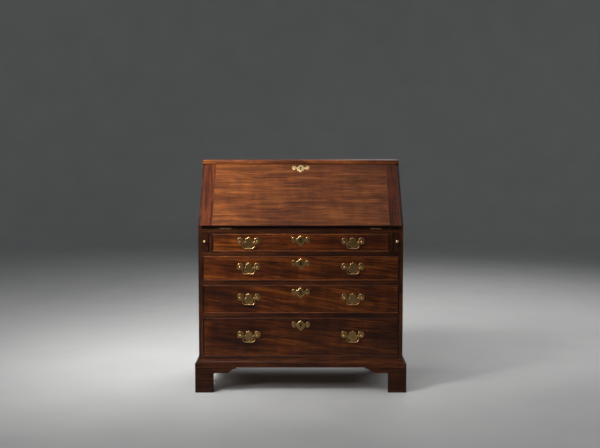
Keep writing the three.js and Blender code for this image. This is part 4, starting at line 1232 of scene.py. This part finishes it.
def backplate():
    """A handle's plate with its two posts, lying flat. Tarnish gathers round the posts' feet."""
    def sheltered(at):
        if at.z > 1.6 * PLATE_THICKNESS:
            return 0.0
        from_post = max(0.0, math.hypot(abs(at.x) - POST_HALF, at.y) - 1.1 * POST_NECK)
        ring = max(0.0, 1 - from_post / (3.5 * MM))
        return max(FIELD_GRIME * field(at, PLATE_OUTLINE), 0.9 * ring)

    parts = [cast_plate(PLATE_OUTLINE), *(handle_post(side) for side, end in ENDS)]
    return note_grime(joined(parts), sheltered)


print("post profile points:", len(post_profile()))

# %% [markdown]
# ### Bails
#
# The bail is one cast bar: thin necks that turn into the posts, and a grip that is thickest in
# the middle, with a little collar on each side. A smooth line goes through a few points that
# are shares of the post's distance and of the bail's drop, and a ring of points is extruded
# from station to station along it.

# %% Bails
BAIL_DROP = 29.5 * MM
BAIL_THICK, BAIL_NECK, BAIL_PIN = 2.5 * MM, 1.6 * MM, 1.3 * MM
BAIL_SHOULDER = 7.6 * MM
BAIL_STATIONS = 72
PIN_REACH = 2.2 * MM
COLLAR_SHARE, COLLAR_WIDTH, COLLAR_RISE = 0.46, 1.1 * MM, 0.35 * MM
BAIL_SHARES = ((0.740, -0.03), (0.665, -0.16), (0.645, -0.33), (0.700, -0.56),
               (0.665, -0.76), (0.530, -0.94), (0.330, -1.0))


def spline(points, steps):
    """A smooth line through points, by Catmull and Rom's rule, evenly spaced."""
    ends = [2 * points[0] - points[1]] + points + [2 * points[-1] - points[-2]]
    fine = [
        0.5 * (2 * b + (c - a) * t + (2 * a - 5 * b + 4 * c - d) * t ** 2
               + (3 * b - a - 3 * c + d) * t ** 3)
        for a, b, c, d in zip(ends, ends[1:], ends[2:], ends[3:])
        for t in [step / CURVE_STEPS for step in range(CURVE_STEPS)]]
    fine.append(points[-1])
    reach = [0.0]
    for a, b in zip(fine, fine[1:]):
        reach.append(reach[-1] + (b - a).length)
    line, at = [], 0
    for step in range(steps + 1):
        goal = reach[-1] * step / steps
        while at < len(fine) - 2 and reach[at + 1] < goal:
            at += 1
        share = (goal - reach[at]) / (reach[at + 1] - reach[at])
        line.append(fine[at].lerp(fine[at + 1], min(share, 1.0)))
    return line


def rod_along(line, radii, sides=12):
    """A round bar: a ring is extruded from station to station along a flat line."""
    shape = bmesh.new()
    heading = (line[1] - line[0]).normalized()
    ring = bmesh.ops.create_circle(shape, cap_ends=True, segments=sides, radius=radii[0],
                                   matrix=facing(heading, line[0]))["verts"]
    face = ring[0].link_faces[0]
    for here, there, ahead, thin, thick in zip(line, line[1:], line[2:] + [None], radii, radii[1:]):
        new_heading = (ahead - here).normalized() if ahead else (there - here).normalized()
        grown = bmesh.ops.extrude_face_region(shape, geom=[face, *face.edges, *face.verts],
                                              use_keep_orig=False)
        ring, face = of_kind(BMVert, grown["geom"]), of_kind(BMFace, grown["geom"])[0]
        turn = heading.rotation_difference(new_heading).to_matrix().to_4x4()
        step = Matrix.Translation(there) @ turn @ Matrix.Scale(thick / thin, 4)
        bmesh.ops.transform(shape, matrix=step @ Matrix.Translation(-here), verts=ring)
        heading = new_heading
    bmesh.ops.recalc_face_normals(shape, faces=shape.faces)
    return shape


def bail_radius(point):
    """How thick the bail is at a point of its line: a pin, or a neck that grows to a grip."""
    if abs(point.x) > POST_HALF - HEAD_RADIUS - 0.1 * MM:
        return BAIL_PIN
    low = -point.y / BAIL_DROP
    from_collar = (abs(point.x) - COLLAR_SHARE * POST_HALF) / COLLAR_WIDTH
    collar = math.exp(-from_collar ** 2) if low > 0.8 else 0
    return BAIL_NECK + (BAIL_THICK - BAIL_NECK) * low ** 2 + COLLAR_RISE * collar


def bail():
    """A bail hanging down, lying flat like the plate, at the height of its axis."""
    right = [Vector((across * POST_HALF, down * BAIL_DROP, 0)) for across, down in BAIL_SHARES]
    left = [Vector((-point.x, point.y, 0)) for point in reversed(right)]
    shoulder, pin_root, pin_end = (
        Vector((across, 0, 0))
        for across in (POST_HALF - BAIL_SHOULDER, POST_HALF - HEAD_RADIUS, POST_HALF + PIN_REACH))
    grip = spline([shoulder, *right, Vector((0, -BAIL_DROP, 0)), *left, -shoulder],
                  BAIL_STATIONS)
    line = [pin_end, pin_root, *grip, -pin_root, -pin_end]
    shape = rod_along(line, [bail_radius(point) for point in line])
    note_grime(shape, lambda at: 0.5 * max(0.0, 1 + at.y / (0.5 * BAIL_DROP)))
    return shifted(shape, 0, 0, BAIL_AXIS)


print("bail width over its pins:", round(2 * (POST_HALF + PIN_REACH) / MM, 1), "mm")

# %% [markdown]
# ## Locks and screws
#
# Each drawer has an iron lock on the back of its front: a base plate, a raised case, a bolt
# and four screws. It closes the key's bore from behind, so the keyhole looks dark. A screw's
# head is spun, and its slot is carved with a thin board.

# %% A drawer lock
LOCK_HALF, LOCK_HEIGHT, LOCK_DROP = 30 * MM, 46 * MM, 6 * MM
LOCK_REST, LOCK_FACE = 2 * MM, 2.4 * MM
CASE_DEPTH = 4.2 * MM
BOLT_HALF, BOLT_DEPTH = 9 * MM, 2.6 * MM
SMALL_SCREW, SCREW_SINK = 2.6 * MM, 0.42 * MM
SCREW_SIDES = 20


def screw_head(radius=3.0 * MM):
    """A countersunk screw's slotted head, flush and facing up."""
    head = spun([(0, 0.5 * MM), (0.92 * radius, SCREW_SINK), (radius, 0.2 * MM),
                 (0.9 * radius, -0.6 * MM), (0, -0.6 * MM)], SCREW_SIDES)
    slot = board((-radius - MM, -0.35 * MM, 0.05 * MM), (radius + MM, 0.35 * MM, MM), 0)
    return carved(head, slot)


def drawer_lock():
    """A drawer lock lying flat, its face up and its upper edge at Y 0."""
    plate = board((-LOCK_HALF, -LOCK_HEIGHT, 0), (LOCK_HALF, 0, LOCK_FACE), 0.3 * MM)
    case = board((-0.7 * LOCK_HALF, -0.86 * LOCK_HEIGHT, LOCK_REST),
                 (0.7 * LOCK_HALF, -0.12 * LOCK_HEIGHT, LOCK_REST + CASE_DEPTH), 0.7 * MM)
    bolt = board((-BOLT_HALF, -LOCK_DROP, LOCK_REST),
                 (BOLT_HALF, 2 * MM, LOCK_REST + BOLT_DEPTH), 0.4 * MM)
    screws = [shifted(screw_head(), side * 0.86 * LOCK_HALF, share * LOCK_HEIGHT, LOCK_FACE)
              for side, end in ENDS for share in (-0.16, -0.84)]
    return joined([plate, case, bolt, *screws])


LOCK_TURN = Matrix.Rotation(2 * QUARTER, 4, "Z") @ Matrix.Rotation(QUARTER, 4, "X")
print("lock:", round(2 * LOCK_HALF / MM), "by", round(LOCK_HEIGHT / MM), "mm")

# %% [markdown]
# ## Drawers
#
# A drawer is an oak box with a mahogany front. Tails cut on the box's sides sit in sockets in
# the ends of the front and stop short of its face, so no joint shows while it is shut. A cock
# bead, a thin half-round strip, stands proud all round the front and keeps its edges from
# chipping. On the solids the bead is part of the front, so faces that lie in front of the
# drawer's face take the bead's wood, which is painted lighter as a painted highlight, and the
# upright beads at the sides take near-black wood, as painted shade. The key bore is painted
# dark too, as painted shade.

# %% Four drawers
KEYHOLE_DROPS = (26 * MM, 29 * MM, 29 * MM, 29 * MM)
TOP_GAP, SHELF_GAP = 1.6 * MM, 1.2 * MM
HANDLE_X = 0.53 * HALF_INSIDE
HANDLE_RISE_SHARE = 0.05
SIDE_THICKNESS = 9 * MM
BEAD_WIDTH = 3 * MM
EDGE_EASE = 0.1 * MM
BOX_ARRIS = 0.5 * MM
KEY_REACH = 30 * MM
keyhole_plate = escutcheon(FIELD_GRIME)
handle_plate = backplate()
for number, (front_wood, painted_light_bead_wood) in enumerate(zip(drawer_woods, painted_light_bead_woods), 1):
    body = f"drawer_{number}"
    low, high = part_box(f"{body}_front")
    box_low, box_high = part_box(f"{body}_box")
    shelf = low.z - SHELF_GAP
    opening = high.z + TOP_GAP - shelf
    key_place = (0, FRONT, shelf + opening - KEYHOLE_DROPS[number - 1])

    def front_finish(centre, normal):
        """The bead's lighter wood, a painted highlight, in front of the face and on the rim;
        near-black wood, painted shade, on the upright beads and in the key bore.
        """
        in_key_bore = abs(centre.x) < KEYHOLE_RADIUS + 2 * KEY_EASE and abs(normal.y) < 0.5
        if in_key_bore and centre.y > FRONT:
            return 3
        from_side = min(centre.x - low.x, high.x - centre.x)
        rim = min(from_side, centre.z - low.z, high.z - centre.z)
        on_the_rim = rim < 2 * MERGE and centre.y < FRONT + BEAD_WIDTH
        if centre.y > FRONT - MERGE and not on_the_rim:
            return 0
        return 2 if from_side < BEAD_WIDTH + EDGE_EASE else 1

    def box_finish(centre, normal):
        """Oak that runs back on the sides, across on the back and in boards on the bottom."""
        if min(centre.x - box_low.x, box_high.x - centre.x) < SIDE_THICKNESS + EDGE_EASE:
            return 0
        return 1 if box_high.y - centre.y < SIDE_THICKNESS + EDGE_EASE else 2

    key_way = slab(keyhole_outline(KEY_EASE), KEY_WAY_DEPTH)
    front = carved(cad_copy(f"{body}_front"), shifted(stood(key_way, key_place), 0, KEY_REACH, 0))
    split_at(front, (0, FRONT + BEAD_WIDTH, 0), (0, 1, 0))
    finish_piece(front, f"{body}_front_panel", body,
                 [front_wood, painted_light_bead_wood, painted_shade_bead_end_wood, painted_shade_edge_wood], f"{body}_front", front_finish)
    dress(f"{body}_box", f"{body}_oak_box", body, [oak_deep, oak_across, oak_bottom],
          box_finish, BOX_ARRIS)
    finish_piece(stood(keyhole_plate.copy(), key_place), f"{body}_keyhole_plate", body,
                 [drawer_brass], f"{body}_escutcheon")
    lock_place = Matrix.Translation((0, FRONT + FRONT_THICKNESS, high.z - LOCK_DROP))
    finish_piece(moved(drawer_lock(), lock_place @ LOCK_TURN), f"{body}_lock", body, [lock_iron])
    for side, end in ENDS:
        place = (side * HANDLE_X, FRONT, shelf + (0.5 + HANDLE_RISE_SHARE) * opening)
        finish_piece(stood(handle_plate.copy(), place), f"{body}_handle_plate_{end}", body,
                     [drawer_brass], f"{body}_backplate_{end}")
        finish_piece(stood(bail(), place), f"{body}_handle_bail_{end}",
                     f"{body}_bail_{end}_swing", [drawer_brass], f"{body}_bail_{end}")
print("drawer pieces:", sum(name.startswith("drawer_") for name in made_pieces))

# %% [markdown]
# ## Lopers
#
# Two square bearers slide out to carry the open fall. Their ends have an upright facing, and
# the wood has shrunk, so a dark gap shows on the inner side of each. The small turned brass
# knob and its rose are spun from one profile.

# %% Knobs and lopers
KNOB_LEVEL = 680.5 * MM
KNOB_INSET = 11 * MM
FACING_DEPTH = 4 * MM
KNOB_SIZES = [7 * MM, 16 * MM, 3 * MM, 5.2 * MM, 2 * MM, 1.8 * MM, 18 * MM]


def knob(radius, proud, neck, rose_radius, rose_thickness, stem_radius, stem_length):
    """A turned knob that stands on Z 0, its stem going down into the wood."""
    middle = proud - radius
    ball = [(radius * math.sin(t), middle + radius * math.cos(t))
            for t in [math.radians(a) for a in range(0, 150, 12)]]
    ball = [(r, z) for r, z in ball if z > middle or r > neck]
    foot = [(neck, proud - 2.02 * radius), (neck, rose_thickness + 0.6 * MM),
            (1.4 * neck, rose_thickness), (rose_radius - 0.4 * MM, rose_thickness),
            (rose_radius, rose_thickness - 0.5 * MM), (rose_radius, 0),
            (stem_radius, 0), (stem_radius, -stem_length), (0, -stem_length)]
    return spun(ball + foot, TURNED_SIDES)


for side, end in ENDS:
    body = f"loper_{end}_slide"
    dress_front(f"loper_{end}", f"loper_{end}_bearer", body, FACING_DEPTH,
                [loper_face_wood, loper_wood], radius=ARRIS)
    place = (side * (HALF_INSIDE - KNOB_INSET), FRONT, KNOB_LEVEL)
    finish_piece(stood(knob(*KNOB_SIZES), place), f"loper_{end}_brass_knob", body, [fall_brass],
                 f"loper_knob_{end}")
print("loper pieces:", sum(name.startswith("loper") for name in made_pieces))

# %% [markdown]
# ## Hinges and the fall's lock
#
# Two brass butt hinges are let into the fall and the desk board, flush with the wood, so that
# the open fall and the desk make one surface. The outer knuckles belong to the case and the
# middle one to the fall, and each leaf has three screws.

# %% Hinge leaves
HINGE_LENGTH = 52 * MM
LEAF_WIDTH, LEAF_THICKNESS, LEAF_START = 24 * MM, 1.6 * MM, 3.9 * MM
KNUCKLE_RADIUS, MIDDLE_KNUCKLE = 3.2 * MM, 17.4 * MM
KNUCKLE_GAP, KNUCKLE_EASE = 0.4 * MM, 0.3 * MM
LOCK_SCREW_HALF, LOCK_SCREW_DROPS = 27 * MM, (18 * MM, 47 * MM)
HINGE_X = sum(corner.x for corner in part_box("hinge_right_case_leaf")) / 2


def knuckle(start, end):
    """A knuckle between two places along X, its ends eased."""
    ease, length = KNUCKLE_EASE, end - start
    barrel = [(0, 0), (KNUCKLE_RADIUS - ease, 0), (KNUCKLE_RADIUS, ease),
              (KNUCKLE_RADIUS, length - ease), (KNUCKLE_RADIUS - ease, length), (0, length)]
    return moved(spun(barrel, TURNED_SIDES), facing((1, 0, 0), (start, 0, 0)))


def leaf(knuckles):
    """A leaf behind the pin, its upper face at Z 0, with its knuckles and screws."""
    parts = [board((-HINGE_LENGTH / 2, LEAF_START, -LEAF_THICKNESS),
                   (HINGE_LENGTH / 2, LEAF_WIDTH, 0), 0.2 * MM)]
    for start, end in knuckles:
        parts.append(knuckle(start, end))
        parts.append(board((start, 0, -LEAF_THICKNESS), (end, LEAF_START + MM, 0), 0.1 * MM))
    for along, back in ((-0.36, 0.62), (0, 0.8), (0.36, 0.62)):
        parts.append(shifted(screw_head(SMALL_SCREW), along * HINGE_LENGTH, back * LEAF_WIDTH,
                             -SCREW_SINK))
    return joined(parts)


inner, outer = MIDDLE_KNUCKLE / 2 + KNUCKLE_GAP, HINGE_LENGTH / 2
for side, end in ENDS:
    across = Matrix.Translation((side * HINGE_X, 0, 0))
    on_case = Matrix.Translation((0, FRONT, DESK)) @ across
    desk_leaf = leaf([(-outer, -inner), (inner, outer)])
    finish_piece(moved(desk_leaf, on_case), f"hinge_{end}_desk_leaf", "case", [hinge_brass],
                 f"hinge_{end}_case_leaf")
    front_leaf = moved(leaf([(-MIDDLE_KNUCKLE / 2, MIDDLE_KNUCKLE / 2)]),
                       Matrix.Diagonal((1, 1, -1, 1)))
    finish_piece(moved(front_leaf, fall_turn @ across), f"hinge_{end}_front_leaf", "fall",
                 [hinge_brass], f"hinge_{end}_fall_leaf")

lock_screws = []
for side, end in ENDS:
    for drop in LOCK_SCREW_DROPS:
        head = moved(screw_head(SMALL_SCREW), Matrix.Rotation(2 * QUARTER, 4, "X"))
        shifted(head, side * LOCK_SCREW_HALF, LIP_END - drop, SCREW_SINK)
        lock_screws.append(moved(head, fall_turn))
lock = carved(soften(cad_copy("fall_lock"), 0.3 * MM), fall_key_way())
finish_piece(joined([lock, *lock_screws]), "fall_mortise_lock", "fall", [lock_iron], "fall_lock")
print("pieces so far:", len(made_pieces))

# %% [markdown]
# ## Pigeonholes
#
# Behind the fall stand eight pigeonholes over four small drawers. The partitions are thin,
# and their front edges sweep back so that a hand can reach in. A fretted valance hangs at the
# top of each hole.

# %% Shelves, partitions and valances
unit_low, unit_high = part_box("pigeonholes")
UNIT_PANEL = 6 * MM
SMALL_OPENING = 66 * MM
SWEEP, SWEEP_ARRIS = 38 * MM, 1.5 * MM
VALANCE_THICKNESS, VALANCE_SETBACK = 5 * MM, 4 * MM
VALANCE_DROP, VALANCE_ARCH = 30 * MM, 15 * MM
SMALL_DRAWERS, PIGEONHOLES = 4, 8
INNER_ARRIS = 0.5 * MM
SWEEP_STEPS, ARCH_STEPS = 20, 12
SHELF = DESK + SMALL_OPENING
ROOF = unit_high.z - UNIT_PANEL


def panel_centres(spaces):
    half = HALF_INSIDE - UNIT_PANEL / 2
    return [-half + 2 * half * i / spaces for i in range(spaces + 1)]


def unit_board(left, right, low, high):
    """A board of the unit that is as deep as the unit."""
    return board((left, unit_low.y, low), (right, unit_high.y, high), INNER_ARRIS)


def swept_partition(x, low, high):
    """A partition in the plane across X, its front edge sweeping back and out again."""
    height = high - low
    front, back, swept = unit_low.y, unit_high.y, unit_low.y + SWEEP
    outline = [
        (front, low),
        *curve([(front, low), (swept, low + 0.22 * height), (swept, low + 0.58 * height),
                (front, low + 0.84 * height)], SWEEP_STEPS),
        (front, high), (back, high), (back, low)]
    lay = placed((0, 1, 0), UP, (x - UNIT_PANEL / 2, 0, 0))
    return soften(moved(slab(outline, UNIT_PANEL), lay), SWEEP_ARRIS, 3,
                  lambda edge: edge.verts[0].co.y < back - MM)


def valance(left, right):
    """A fretted strip over one pigeonhole, arched between its two ends."""
    middle, drop, crown = (left + right) / 2, ROOF - VALANCE_DROP, ROOF - VALANCE_ARCH
    outline = [(left, ROOF), (left, drop)]
    for start, end, low, high in ((left, middle, drop, crown), (middle, right, crown, drop)):
        turn = (start + end) / 2
        outline += curve([(start, low), (turn, low), (turn, high), (end, high)], ARCH_STEPS)
    front = unit_low.y + VALANCE_SETBACK + VALANCE_THICKNESS
    shape = moved(slab(outline + [(right, ROOF)], VALANCE_THICKNESS),
                  placed((1, 0, 0), UP, (0, front, 0)))
    return soften(shape, INNER_ARRIS)


half_panel = UNIT_PANEL / 2
holes = panel_centres(PIGEONHOLES)
shelves = [unit_board(-HALF_INSIDE, HALF_INSIDE, z, z + UNIT_PANEL) for z in (SHELF, ROOF)]
uprights = [unit_board(x - half_panel, x + half_panel, DESK, SHELF)
            for x in panel_centres(SMALL_DRAWERS)]
partitions = [swept_partition(x, SHELF + UNIT_PANEL, ROOF) for x in holes]
valances = [valance(left + half_panel, right - half_panel)
            for left, right in zip(holes, holes[1:])]
finish_piece(joined(shelves), "pigeonhole_shelves", "case", [inside_wood], "pigeonholes")
finish_piece(joined(uprights), "small_drawer_uprights", "case", [inside_upright_wood])
finish_piece(joined(partitions), "pigeonhole_partitions", "case", [inside_upright_wood])
finish_piece(joined(valances), "pigeonhole_valances", "case", [inside_wood])
print("partitions:", len(partitions), "valances:", len(valances))

# %% [markdown]
# ## Small drawers
#
# The small drawers have a mahogany front, oak sides and a brass knob. Each is four thin oak
# boards behind its front, and takes its place and size from the CAD solid.

# %% Small drawers
SMALL_FRONT, SMALL_WALL = 9 * MM, 5 * MM
SMALL_FRONT_ARRIS = 1.2 * MM
SMALL_KNOB_SIZES = [5 * MM, 11 * MM, 2.2 * MM, 3.4 * MM, 0.8 * MM, 1.6 * MM, 4 * MM]
for number, front_wood in enumerate(drawer_woods, 1):
    node = f"small_drawer_{number}"
    body = f"{node}_tray"
    low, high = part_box(node)
    face = unit_low.y
    inside = face + SMALL_FRONT
    left, right, rear = low.x + SMALL_WALL, high.x - SMALL_WALL, high.y - SMALL_WALL
    front = board((low.x, face, low.z), (high.x, inside, high.z), SMALL_FRONT_ARRIS)
    finish_piece(front, f"{node}_front", body, [front_wood], node)
    walls = [board(*corners, INNER_ARRIS) for corners in (
        ((low.x, inside, low.z), (left, high.y, high.z)),
        ((right, inside, low.z), (high.x, high.y, high.z)),
        ((left, rear, low.z), (right, high.y, high.z)),
        ((left, inside, low.z), (right, rear, low.z + SMALL_WALL)))]
    finish_piece(joined(walls), f"{node}_oak_box", body, [oak_deep])
    place = ((low.x + high.x) / 2, face, (low.z + high.z) / 2)
    finish_piece(stood(knob(*SMALL_KNOB_SIZES), place), f"{node}_knob", body, [drawer_brass])
print("pieces in all:", len(made_pieces))
